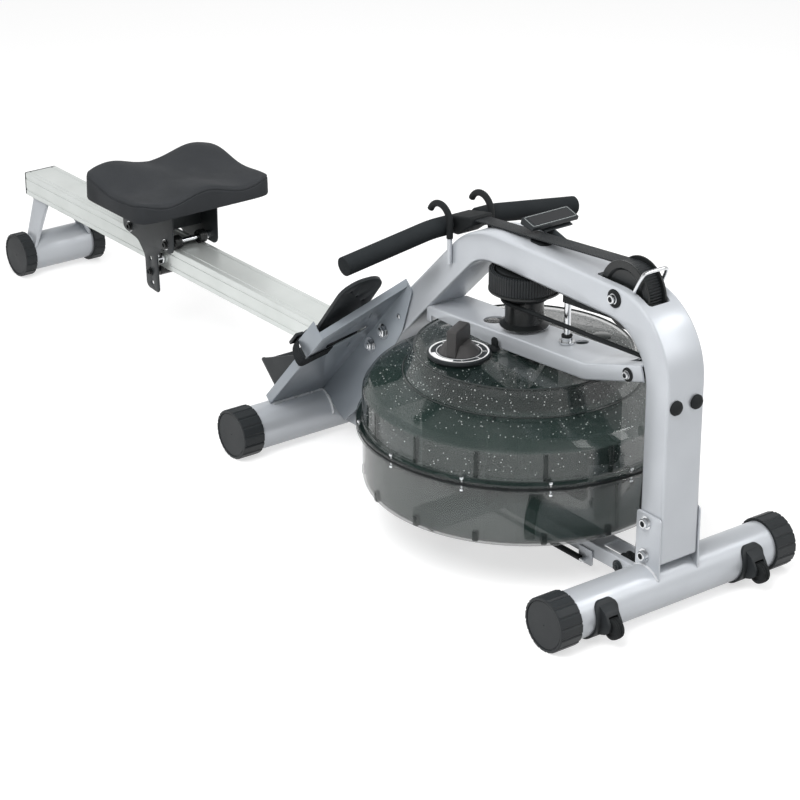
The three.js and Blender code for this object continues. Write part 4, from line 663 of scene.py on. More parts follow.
def rounded(corners: list[tuple], steps: int = 8) -> list[Flat]:
    """Fillets an outline's corners.

    Args:
        corners: (a, b) or (a, b, radius) in order.
        steps: steps round each fillet.

    Returns:
        The smooth outline.
    """
    done: list[Flat] = []
    for i, corner in enumerate(corners):
        here = Vector(corner[:2])
        radius = corner[2] if len(corner) > 2 else 0
        if not radius:
            done.append(tuple(here))
            continue
        back = (Vector(corners[i - 1][:2]) - here).normalized()
        ahead = (Vector(corners[(i + 1) % len(corners)][:2]) - here).normalized()
        half = math.acos(max(-1.0, min(1.0, back.dot(ahead)))) / 2
        centre = here + (back + ahead).normalized() * radius / math.sin(half)
        start = here + back * radius / math.tan(half) - centre
        end = here + ahead * radius / math.tan(half) - centre
        sweep = math.atan2(start.x * end.y - start.y * end.x, start.dot(end))
        for k in range(steps + 1):
            angle = sweep * k / steps
            c, s = math.cos(angle), math.sin(angle)
            done.append((centre.x + start.x * c - start.y * s, centre.y + start.x * s + start.y * c))
    return done


def oblong(low: Flat, high: Flat, radius: float, steps: int = 8, foot: float | None = None) -> list[Flat]:
    """A filleted rectangle.

    Args:
        low: its lower corner.
        high: its upper corner.
        radius: the fillet at its corners.
        steps: steps round each fillet.
        foot: another fillet for the two lower corners.

    Returns:
        The smooth outline.
    """
    (a, b), (c, d) = low, high
    below = radius if foot is None else foot
    return rounded([(a, b, below), (c, b, below), (c, d, radius), (a, d, radius)], steps)


def both_ways(half: list[Flat], closed: bool = False) -> list[Flat]:
    """A turned profile from its upper half, closed on itself or open towards the axis."""
    whole = [(r, -h) for r, h in reversed(half) if h] + half
    return whole + whole[:1] if closed else whole


def on_floor(spot: Point) -> Point:
    """The place on the floor under a point, for heights that count from there."""
    return (spot[0], spot[1], 0.0)


def upright(outline: list[Flat], y: float) -> list[Point]:
    """An (x, z) outline as points at one y."""
    return [(x, y, z) for x, z in outline]


def level(outline: list[Flat], z: float) -> list[Point]:
    """An (x, y) outline as points at one height."""
    return [(x, y, z) for x, y in outline]


@dataclass(frozen=True)
class Fasteners:
    """Screws, washers and nuts with their axis along Y, modelled at their place."""

    segments: int = 32
    washer: float = 1.4
    socket: float = 0.62
    washer_bore: float = 5.4

    def socket_head(self, name: str, centre: Point, side: Side, radius: float = 8.0, high: float = 8.0,
                    rim: float = 1.4, body: str = "frame") -> Piece:
        """A socket head screw on a washer, with a dark hexagon set in its socket as painted shade.

        Args:
            name: the piece's name.
            centre: the middle of the washer's seat.
            side: the way that the head faces.
            radius: the head's radius.
            high: the head's height.
            rim: the washer's radius as a share of the head's.
            body: the body that the dark hexagon of painted shade rides on.

        Returns:
            The closed piece.
        """
        way = side.value
        bore, floor = radius * self.socket, high * 0.3
        profile = [(0, 0), (radius * rim, 0), (radius * rim, self.washer), (radius, self.washer + 0.2),
                   (radius, high - 1), (radius - 1, high), (bore, high), (bore, floor), (0, floor)]
        # The dark hexagon is painted shade: black steel set in the socket where the recess falls dark
        hexagon = Bench.rod(f"{name}_socket", radius * 0.6, high * 0.31 * way, high * 0.5 * way,
                            centre, steps=6)
        Bench.dress(hexagon, BLACK_STEEL, body)
        return Bench.turned(name, [(r, h * way) for r, h in profile], centre, Axis.Y, self.segments)

    def black_washer(self, name: str, centre: Point, side: Side, radius: float) -> None:
        """A dull black washer under a bright head."""
        way, bore = side.value, self.washer_bore
        profile = [(bore, 0), (radius, 0), (radius, 1.2 * way), (radius - 1, 1.7 * way),
                   (bore, 1.7 * way), (bore, 0)]
        Bench.dress(Bench.turned(name, profile, centre, Axis.Y, 48), RUBBER, "frame")

    def hex_nut(self, name: str, centre: Point, side: Side, radius: float, high: float) -> Piece:
        """A hexagon nut on a washer with a stub of thread."""
        way = side.value
        nut = Bench.rod(name, radius, 0, high * way, centre, steps=6)
        Bench.bevel(nut, 0.7, 2)
        washer = Bench.rod("washer", radius * 1.35, 0, 1.5 * way, centre, steps=self.segments)
        core, end = radius * 0.5, high + 3
        profile = [(0, 0), (core, 0), (core, (end - 0.8) * way), (core * 0.8, end * way), (0, end * way)]
        stub = Bench.turned("stub", profile, centre, Axis.Y, self.segments)
        return Bench.gather([nut, washer, stub], name)


FASTENERS = Fasteners()


# Feet


@dataclass(frozen=True)
class Foot:
    """A cross tube: its row, its place, the reach and length of its caps, and its radius."""

    row: str
    x: float
    span: float
    cap: float
    radius: float = TUBE_RADIUS


@dataclass
class Feet:
    """The three cross tubes with their end caps, plates and transport wheels."""

    front_foot: Foot = Foot("front", FRONT_X, 249.0, 42.0)
    mid_foot: Foot = Foot("mid", MID_X, 239.0, 42.0)
    rear_foot: Foot = Foot("rear", REAR_X, 95.0, 25.0, 38.0)
    wall: float = 2.5
    cap_radius: float = 45.0
    cap_ridges: int = 16
    cap_face: float = 4.5
    plate_y: float = 39.6
    sheet: float = 3.0
    pedestal_half: float = 30.5
    pedestal_top: float = 152.5
    wheel_y: float = 155.0

    def build(self) -> None:
        """Makes every foot and what it carries."""
        self.front()
        self.middle()
        self.rear()
        for foot in (self.front_foot, self.mid_foot, self.rear_foot):
            for side in Side:
                self.cap(foot, side)
        for side in Side:
            self.transport(side)

    def tube(self, foot: Foot, name: str) -> None:
        """A round tube across the machine, open at its ends."""
        half = foot.span - self.cap_face
        tube = Bench.ring(name, (foot.radius - self.wall, foot.radius), (-half, half), (foot.x, 0, FOOT_Z))
        Bench.dress(tube, POWDER_COAT, "frame", (f"{foot.row}_foot",))

    def core(self, foot: Foot, reach: float = 90.0) -> Piece:
        """The room that a piece welded on a tube leaves for it."""
        return Bench.rod("core", foot.radius - 2, -reach, reach, (foot.x, 0, FOOT_Z))

    def bead(self, name: str, path: list[Point]) -> None:
        """A weld bead along a seam, its paint lighter as a painted highlight."""
        Bench.dress(Bench.swept(name, path, 2.2, 4), LIT_WELD_COAT, "frame")

    def front(self) -> None:
        """The front tube with the two plates that clamp the post, each with a weld and two bolts."""
        self.tube(self.front_foot, "front_tube")
        shape = oblong((-23, 60), (33, 176), 7, foot=0)
        arc = [math.radians(-32 + 6.5 * k) for k in range(14)]
        for side in Side:
            way = side.value
            y = self.plate_y * way
            face = y + self.sheet * way
            plate = Bench.plate(f"post_plate_{side.word}", upright(shape, y), (0, self.sheet * way, 0))
            Bench.bevel(plate, 0.8, 2)
            Bench.carve(plate, self.core(self.front_foot, 250))
            Bench.dress(plate, POWDER_COAT, "frame")
            seam = [(TUBE_RADIUS * math.sin(t), face + 0.6 * way, FOOT_Z + TUBE_RADIUS * math.cos(t))
                    for t in arc]
            self.bead(f"post_weld_{side.word}", seam)
            for number, (x, z) in enumerate(((0, 159.5), (-1.7, 102.2))):
                bolt = FASTENERS.socket_head(f"post_bolt_{side.word}_{number}", (x, face, z), side, 8, 9)
                Bench.dress(bolt, BRIGHT_STEEL, "frame")

    def middle(self) -> None:
        """The middle tube with the folded pedestal under the seat rail."""
        self.tube(self.mid_foot, "middle_tube")
        rear, front = MID_X - 28, MID_X + 28
        half, top, thick = self.pedestal_half, self.pedestal_top, self.sheet
        shape = rounded([(rear, 60), (rear, top, 4), (front, top, 4), (front, 60)])
        stand = Bench.plate("rail_pedestal", upright(shape, -half), (0, 2 * half, 0))
        Bench.bevel(stand, 1.5, 2)
        tunnel = Bench.block("tunnel", (rear - 6, thick - half, 40), (front + 6, half - thick, top - thick))
        Bench.carve(stand, self.core(self.mid_foot), tunnel)
        Bench.dress(stand, POWDER_COAT, "frame")

    def rear(self) -> None:
        """The rear tube with its two flared struts under a pad."""
        self.tube(self.rear_foot, "rear_tube")
        pad = Bench.block("rear_pad", (REAR_X - 26.5, -33.5, 149.2), (REAR_X + 26.5, 33.5, 152.7))
        Bench.bevel(pad, 1, 2)
        Bench.dress(pad, POWDER_COAT, "frame")
        thick = 4.0
        for side in Side:
            way = side.value
            top_y, low_y = 28.5 * way, 65.4 * way
            top = oblong((REAR_X - 26, top_y - thick), (REAR_X + 26, top_y + thick), 0)
            low = oblong((REAR_X - 3, low_y - thick), (REAR_X + 33, low_y + thick), 0)
            strut = self.loft(f"rear_strut_{side.word}", level(low, 66), level(top, 150))
            Bench.carve(strut, self.core(self.rear_foot))
            Bench.bevel(strut, 1.5, 2)
            Bench.dress(strut, POWDER_COAT, "frame")
            seam = [(REAR_X - 1 + 5 * k, low_y - (7.5 - 0.4 * k) * way, 83.5 - 0.25 * k * k)
                    for k in range(7)]
            self.bead(f"rear_weld_{side.word}", seam)

    def loft(self, name: str, low: list[Point], high: list[Point]) -> Piece:
        """A bar between two outlines of the same corner count."""
        ends = []
        for outline in (low, high):
            end = Bench.chain("end", outline)
            bpy.ops.mesh.edge_face_add()
            ends.append(Bench.close_up(end))
        both = Bench.gather(ends, name)
        bpy.ops.object.mode_set(mode="EDIT")
        bpy.ops.mesh.select_all(action="SELECT")
        bpy.ops.mesh.bridge_edge_loops()
        return Bench.close_up(both)

    def cap(self, foot: Foot, side: Side) -> None:
        """A moulded end cap with broad ridges round its rim and a shallow dish in its face."""
        radius, bore, length = self.cap_radius, foot.radius + 0.4, foot.cap
        ring = radius / math.cos(math.pi / self.cap_ridges)
        lip = radius - 4.6
        dish = [(0, -2.2), (0.9, -2.2), (1.1, -1), (lip - 1.6, -1), (lip - 1.2, -1.9), (lip - 0.4, -1.9)]
        rim = [(lip, -0.2), (lip + 0.6, 0), (radius - 2.2, 0), (ring - 0.7, -1), (ring, -3)]
        skirt = [(ring, -length + 1), (ring - 1, -length), (bore, -length)]
        inside = [(bore, -self.cap_face), (0, -self.cap_face)]
        profile = [(r, h * side.value) for r, h in dish + rim + skirt + inside]
        at = (foot.x, foot.span * side.value, FOOT_Z)
        cap = Bench.turned(f"{foot.row}_cap_{side.word}", profile, at, Axis.Y, self.cap_ridges * 6)
        self.ridge(cap, foot.x, ring)
        Bench.dress(cap, MOULDED_ABS, "frame", (f"{foot.row}_foot_cap_{side.word}",), 30)

    def ridge(self, cap: Piece, x: float, ring: float) -> None:
        """Presses a groove between the ridges, and keeps a flat under the cap."""
        hub = place(x, 0, FOOT_Z)
        for vertex in cap.data.vertices:
            dx, dz = vertex.co.x - hub.x, vertex.co.z - hub.z
            reach = math.hypot(dx, dz) / MM
            if reach < ring - 1.6:
                continue
            turn = math.atan2(dz, dx) / math.tau * self.cap_ridges
            phase = abs(turn - round(turn)) * 2
            depth = 2.2 * max(0.0, (phase - 0.7) / 0.3)
            flat = self.cap_radius / max(0.2, abs(math.cos((phase * math.pi) / self.cap_ridges)))
            new = min(ring - depth, flat)
            vertex.co.x = hub.x + dx / reach * new
            vertex.co.z = hub.z + dz / reach * new

    def transport(self, side: Side) -> None:
        """A moulded jaw that hugs the front tube and holds a wheel."""
        y = self.wheel_y * side.value
        half, jaw_half, top = 22.0, 13.6, 74.0
        jaw_side = rounded([(0, 15), (28, 16, 4), (52, 24, 6), (62, 32, 5), (63, 42, 9), (52, 60, 12),
                            (38, 68, 8), (0, 68)])
        jaw = Bench.plate(f"wheel_saddle_{side.word}", upright(jaw_side, y - jaw_half), (0, 2 * jaw_half, 0))
        pad = Bench.rod("pad", 44, -half, half, (0, y, FOOT_Z), steps=96)
        Bench.carve(pad, Bench.block("behind", (-60, y - 30, -10), (-10, y + 30, 100)),
                    Bench.block("above", (-60, y - 30, top), (60, y + 30, 100)))
        Bench.carve(jaw, pad, kind=Work.JOIN)
        front = oblong((y - half, 0), (y + half, top), 13, foot=5)
        front_view = Bench.plate("front_view", [(-20, a, b) for a, b in front], (120, 0, 0))
        Bench.carve(jaw, front_view, kind=Work.KEEP)
        Bench.bevel(jaw, 2.2, 3, 50)
        hub = (57.5, y, 34.0)
        room = Bench.rod("room", 20.8, -9.4, 9.4, hub, steps=60)
        tube = Bench.rod("tube", TUBE_ROOM, -40, 40, (0, y, FOOT_Z), steps=96)
        Bench.carve(jaw, room, tube)
        Bench.dress(jaw, MOULDED_ABS, "frame", (f"transport_bracket_{side.word}",), 30)
        self.wheel(side, hub)

    def wheel(self, side: Side, hub: Point) -> None:
        """A small wheel with three ridges in its tread and a dished face."""
        tread = [(18, 0), (17, 0.6), (17, 1.5), (18, 2.1), (18, 3.4), (17, 4),
                 (17, 4.9), (17.6, 5.5), (17.2, 7)]
        face = [(15.6, 8.2), (14.6, 8.5), (11, 8.5), (10.4, 7.4), (6, 7.4), (5.4, 8.5),
                (4, 8.5), (4, 11), (0, 11)]
        wheel = Bench.turned(f"wheel_{side.word}", both_ways(tread + face), hub, Axis.Y, 64)
        Bench.dress(wheel, RUBBER, f"wheel_{side.word}", (f"transport_wheel_{side.word}",), 30)


# Frame


@dataclass
class Arch:
    """The bent box tube, its bolts and bumpers, and the pulley in its bend."""

    half: float = 39.0
    top: float = 522.0
    depth: float = 52.0
    foot: float = 94.0
    rear: float = -20.0
    knee: float = -453.0
    leg_angle: float = math.radians(44.5)
    leg: float = 513.0
    bumper_z: float = 361.0

    def outline(self) -> list[Flat]:
        """The tube's side view, from the post round to the leg and back."""
        ax, az = -math.cos(self.leg_angle), -math.sin(self.leg_angle)
        nx, nz = math.sin(self.leg_angle), -math.cos(self.leg_angle)
        turn = math.tan(self.leg_angle / 2)
        outer = (self.knee + ax * self.leg, self.top + az * self.leg)
        inner = (outer[0] + nx * self.depth, outer[1] + nz * self.depth)
        front, under = self.rear + self.depth, self.top - self.depth
        return rounded([
            (front, self.foot), (front, self.top, 128), (self.knee, self.top, 165), outer, inner,
            (self.knee + self.depth * turn, under, 80), (self.rear, under, 92), (self.rear, self.foot),
        ], 20)

    def build(self) -> None:
        """Makes the frame tube and everything fixed to it."""
        tube = Bench.plate("arch_tube", upright(self.outline(), -self.half), (0, 2 * self.half, 0))
        Bench.bevel(tube, 5.5, 4, 60)
        slot = Bench.plate("slot", level(oblong((-160, -22), (-34, 22), 6), 430), (0, 0, 140))
        Bench.carve(tube, slot)
        Bench.dress(tube, POWDER_COAT, "frame", ("main_frame",))
        self.bumpers()
        self.rest_pad()
        self.pulley()
        self.keeper()

    def bumpers(self) -> None:
        """Two domed rubber bumpers on the post's front."""
        profile = [(0, 0), (12, 0), (12, 2.5), (10.5, 5), (7, 7), (0, 8)]
        front = self.rear + self.depth + 0.2
        for side in Side:
            at = (front, 21 * side.value, self.bumper_z)
            bumper = Bench.turned(f"post_bumper_{side.word}", profile, at, Axis.X, 48)
            Bench.dress(bumper, RUBBER, "frame")

    def rest_pad(self) -> None:
        """The oval pad on the beam that the belt slides over."""
        outline = oblong((-338, -14), (-298, 14), 13)
        pad = Bench.plate("belt_rest_pad", level(outline, self.top + 0.2), (0, 0, 2.6))
        Bench.bevel(pad, 1, 2)
        Bench.dress(pad, RUBBER, "frame")

    def pulley(self) -> None:
        """The belt pulley with its flanges, on its bolt."""
        half = [(46, 14), (46.5, 15.5), (55.4, 15.6), (56, 18), (55.5, 19), (44, 19), (40, 15.8), (16, 16),
                (14, 19), (5.6, 19)]
        wheel = Bench.turned("belt_pulley", both_ways(half, True), PULLEY, Axis.Y, 128)
        Bench.dress(wheel, GLOSSY_NYLON, "pulley", ("front_pulley",), 25)
        x, _, z = PULLEY
        axle = Bench.rod("pulley_bolt", 5, -41.4, 41.4, PULLEY, steps=32)
        heads = [FASTENERS.socket_head("head", (x, 41 * side.value, z), side, 7.4, 7.6, 1.15)
                 for side in Side]
        Bench.dress(Bench.gather([axle, *heads], "pulley_bolt"), BRIGHT_STEEL, "frame", ("pulley_axle",))
        for side in Side:
            FASTENERS.black_washer(f"pulley_washer_{side.word}", (x, 39.2 * side.value, z), side, 15)

    def keeper(self) -> None:
        """The bent wire that keeps the belt on its pulley."""
        low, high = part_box("belt_keeper")
        a, b = (low - place(0, 0, 0)) / MM, (high - place(0, 0, 0)) / MM
        radius = 3.0
        rear, front, y = a.x + radius, b.x - radius, b.y - radius
        half = [(front, 0, b.z - radius), (front, y - 8, b.z - radius), (front, y - 3, b.z - 4.5),
                (front - 1.5, y - 0.5, b.z - 9), (rear, y, a.z + 2)]
        path = [(x, -side_y, z) for x, side_y, z in reversed(half[1:])] + half
        wire = Bench.swept("belt_keeper_wire", path, radius, 12, 4)
        Bench.dress(wire, BRIGHT_STEEL, "frame", ("belt_keeper",))


# Rail and seat


@dataclass
class Rail:
    """The long extruded seat rail and its end cap."""

    rear: float = -1936.0
    front: float = -848.0
    half: float = 36.5
    low: float = 153.0
    top: float = 201.0
    wall: float = 3.0

    def build(self) -> None:
        """Makes the rail, its end cap and the stop under it."""
        middle = (self.low + self.top) / 2
        rail = Bench.plate("rail_extrusion", [(self.rear, y, z + middle) for y, z in self.section()],
                           (self.front - self.rear, 0, 0))
        wall = self.wall
        hollow = Bench.block("hollow", (self.rear - 5, wall - self.half, self.low + wall),
                             (self.front + 5, self.half - wall, self.top - wall))
        Bench.carve(rail, hollow)
        Bench.dress(rail, ANODISED, "frame", ("seat_rail",), 20)
        high = (self.top - self.low) / 2
        shape = oblong((-self.half, -high), (self.half, high), 3, 5)
        cap = Bench.plate("rail_cap", [(self.rear - 5, y, z + middle) for y, z in shape], (4.7, 0, 0))
        Bench.bevel(cap, 1.4, 3, 60)
        Bench.dress(cap, MOULDED_ABS, "frame", ("rail_end_cap",))
        profile = [(0, 0), (9, 0), (9, -9), (7.5, -11), (0, -11)]
        stop = Bench.turned("rail_stop", profile, (-1850, 0, self.low - 0.1), Axis.Z, 32)
        Bench.dress(stop, RUBBER, "frame")

    def section(self) -> list[Flat]:
        """The rail's cross-section about its middle: a box with a line in each side and a track on top."""
        half, high = self.half, (self.top - self.low) / 2
        quarter = [(half, 0), (half, high - 14), (half - 1, high - 13.4), (half - 1, high - 10.6),
                   (half, high - 10), (half, high - 1.5), (half - 0.5, high - 0.5), (half - 1.5, high),
                   (half - 9, high), (half - 9.6, high - 1), (half - 12.4, high - 1), (half - 13, high)]
        back = quarter[::-1]
        upper = quarter + [(-y, z) for y, z in back]
        return upper + [(-y, -z) for y, z in quarter[1:]] + [(y, -z) for y, z in back[:-1]]


@dataclass(frozen=True)
class Swell:
    """A soft hill on the seat: its place and spread along and across, as shares of the half sizes."""

    along: float
    spread_along: float
    across: float
    spread_across: float
    high: float

    def at(self, u: float, v: float) -> float:
        """The hill's height at a place along (u) and across (v) the seat."""
        far = ((abs(v) - self.across) / self.spread_across) ** 2
        return self.high * math.exp(-far - ((u - self.along) / self.spread_along) ** 2)


@dataclass
class Seat:
    """The moulded seat, its carriage and rollers."""

    x: float = -1405.0
    wide: float = 304.0
    deep: float = 212.0
    bottom: float = 293.0
    edge: float = 43.0
    corner: float = 10.0
    seam: float = 5.5
    around: int = 160
    roller_z: float = 214.3
    roller_y: float = 28.5
    cheek_y: float = 49.0
    sheet: float = 3.0
    cheek_rear: float = -1527.0
    cheek_front: float = -1346.0
    axles: tuple[tuple[str, float], ...] = (("front", -1372.0), ("rear", -1501.0))
    lower: Flat = (-1433.0, 140.7)
    contour: tuple[Swell, ...] = (
        Swell(-0.76, 0.5, 0.62, 0.38, 22.0),
        Swell(1.0, 0.8, 0.0, 0.24, 6.0),
        Swell(1.0, 0.5, 0.56, 0.28, -11.0),
        Swell(0.1, 0.5, 0.66, 0.5, -9.0),
    )

    def build(self) -> None:
        """Makes the cushion, the carriage and every roller."""
        self.cushion()
        self.carriage()
        self.axle_sets()
        self.rollers()

    def top(self, u: float, v: float) -> float:
        """Height of the moulded contour over the seat's base at a place along and across it."""
        past = min(1.0, max(0.0, max(abs(u), abs(v)) - 0.9) / 0.085)
        rim = self.edge * (1 - 0.12 * (1 - math.sqrt(1 - 0.9 * past * past)))
        return rim + sum(hill.at(u, v) for hill in self.contour)

    def edge_point(self, k: int) -> Flat:
        """A place on the pad's edge, from even steps round a square drawn in at its corners."""
        quarter = self.around // 4
        along = (k % quarter) / quarter * 2 - 1
        c, s = ((1, 0), (0, 1), (-1, 0), (0, -1))[k // quarter]
        p, q = c - s * along, s + c * along
        reach = (abs(p) ** self.corner + abs(q) ** self.corner) ** (1 / self.corner)
        return (p / reach, q / reach)

    def spot(self, u: float, v: float, high: float) -> Vector:
        """A place on the pad, from its shares along and across and its height."""
        return place(self.x + self.deep / 2 * u, self.wide / 2 * v, self.bottom + high)

    def side_rings(self) -> list[Vector]:
        """The pad's side from its base to its rim: near upright, with a seam under the rim."""
        base, rising, under_rim, at_seam = range(4)
        rings = ((0.98, 0.0, base), (0.993, 0.6, base), (1.0, 4.0, base), (0.998, 0.5, rising),
                 (0.996, -9.0, under_rim), (0.995, -1.3, at_seam), (0.984, 0.0, at_seam),
                 (0.992, 1.3, at_seam),
                 (0.99, 3.0, at_seam), (0.984, 4.4, at_seam), (0.976, 5.3, at_seam))
        points = []
        for share, high, rule in rings:
            for k in range(self.around):
                u, v = self.edge_point(k)
                lip = self.top(u * 0.985, v * 0.985)
                up = (high, high * lip, lip + high, lip - self.seam + high)[rule]
                points.append(self.spot(u * share, v * share, up))
        return points

    def top_rings(self) -> list[Vector]:
        """The pad's moulded top, in rings that close in on its middle."""
        shares = (0.96, 0.94, 0.91, 0.87, 0.82, 0.76, 0.7, 0.62, 0.54, 0.46, 0.38, 0.3, 0.22, 0.14, 0.06)
        points = []
        for share in shares:
            for k in range(self.around):
                u, v = (value * share for value in self.edge_point(k))
                points.append(self.spot(u, v, self.top(u, v)))
        return points

    def cushion(self) -> None:
        """The seat pad: lobes, a low nose and dips over near-upright sides."""
        around = self.around
        points = self.side_rings() + self.top_rings()
        last = len(points) - around
        faces = [tuple(reversed(range(around))), tuple(range(last, last + around))]
        for start in range(0, last, around):
            for k in range(around):
                here, ahead = start + k, start + (k + 1) % around
                faces.append((here, ahead, ahead + around, here + around))
        mesh = bpy.data.meshes.new("seat_pad")
        mesh.from_pydata(points, [], faces)
        pad = Bench.placed("seat_pad", mesh)
        bpy.ops.object.mode_set(mode="EDIT")
        Bench.close_up(pad)
        Bench.dress(pad, SKIN_FOAM, "seat", ("seat_cushion",), 50)

    def carriage(self) -> None:
        """Two cheek plates with a top plate and two webs, bored for the axles."""
        rear, front = self.cheek_rear, self.cheek_front
        y, thick, top = self.cheek_y, self.sheet, self.bottom - 0.4
        shape = rounded([
            (rear, top), (rear, 205, 12), (-1474, 195, 24), (-1450, 170, 24), (-1447, 107, 12),
            (-1402, 103, 8), (-1406, 181, 6), (-1388, 200, 6), (front, 198, 16), (front, top),
        ], 8)
        cheeks = []
        for side in Side:
            cheek = Bench.plate("cheek", upright(shape, y * side.value), (0, thick * side.value, 0))
            holes = [Bench.rod("hole", 4, -60, 60, (x, 0, z), steps=24)
                     for x, z in ((-1430, 169), (-1425, 120))]
            Bench.carve(cheek, *holes)
            cheeks.append(cheek)
        shelf = Bench.block("shelf", (rear, -y - thick, 289.7), (front, y + thick, 292.7))
        webs = [Bench.block("web", (x, -y - 0.5, 227.5), (x + thick, y + 0.5, 291))
                for x in (-1468.5, -1404.5)]
        body = Bench.gather([*cheeks, shelf, *webs], "seat_bracket")
        Bench.bevel(body, 0.8, 2)
        Bench.dress(body, BLACK_STEEL, "seat", ("seat_carriage",))
        self.side_guides()

    def side_guides(self) -> None:
        """Two bright discs that run along the rail's sides."""
        profile = [(0, 37.4), (10.2, 37.4), (11, 38.4), (11, 41), (10, 42), (3, 42), (3, 50), (0, 50)]
        discs = [Bench.turned("disc", [(r, h * way) for r, h in profile], (-1410, 0, 172), Axis.Y, 48)
                 for way in (1, -1)]
        Bench.dress(Bench.gather(discs, "side_guides"), BRIGHT_STEEL, "seat")

    def heads(self, row: str, x: float, y: float, z: float, radius: float, high: float) -> list[Piece]:
        """A screw head at each end of an axle."""
        return [FASTENERS.socket_head(f"{row}_axle_{side.word}", (x, y * side.value, z), side, radius, high,
                                      body="seat") for side in Side]

    def axle_sets(self) -> None:
        """The axles: a bright rod with spacers, and black socket heads on bright rings."""
        y, bore = self.cheek_y + 3.2, 5.1
        for row, x in self.axles:
            at = (x, 0, self.roller_z)
            parts = [Bench.rod("rod", 5, -y, y, at, steps=32)]
            for way in (1, -1):
                parts.append(Bench.ring("spacer", (bore, 7.5), (37 * way, 48.6 * way), at, steps=32))
                parts.append(Bench.ring("ring", (bore, 10.6), (y * way, (y + 1) * way), at, steps=32))
            Bench.dress(Bench.gather(parts, f"{row}_axle"), BRIGHT_STEEL, "seat", (f"seat_axle_{row}",))
            heads = self.heads(row, x, y + 0.9, self.roller_z, 6.6, 4.6)
            Bench.dress(Bench.gather(heads, f"{row}_axle_heads"), GLOSSY_NYLON, "seat")
        heads = self.heads("under", self.lower[0], 52.1, self.lower[1], 6.2, 4.8)
        Bench.dress(Bench.gather(heads, "under_roller_heads"), GLOSSY_NYLON, "seat")

    def rollers(self) -> None:
        """Four grooved rollers over the rail and one long roller under it."""
        half = [(12.6, 1), (13, 1.4), (13, 7), (12.2, 8), (11, 8), (10.4, 6.4), (8.4, 6.4), (8, 8), (5.5, 8)]
        for row, x in self.axles:
            for side in Side:
                at = (x, self.roller_y * side.value, self.roller_z)
                roller = Bench.turned(f"{row}_roller_{side.word}", both_ways(half, True), at, Axis.Y, 64)
                Bench.dress(roller, GLOSSY_NYLON, f"{row}_rollers", (f"seat_roller_{row}_{side.word}",), 25)
        half = [(12, 31.5), (11, 33), (5, 33), (5, 52), (0, 52)]
        at = (self.lower[0], 0, self.lower[1])
        lower = Bench.turned("under_roller", both_ways(half), at, Axis.Y, 64)
        Bench.dress(lower, GLOSSY_NYLON, "lower_roller", ("seat_lower_roller",), 25)


# Tank


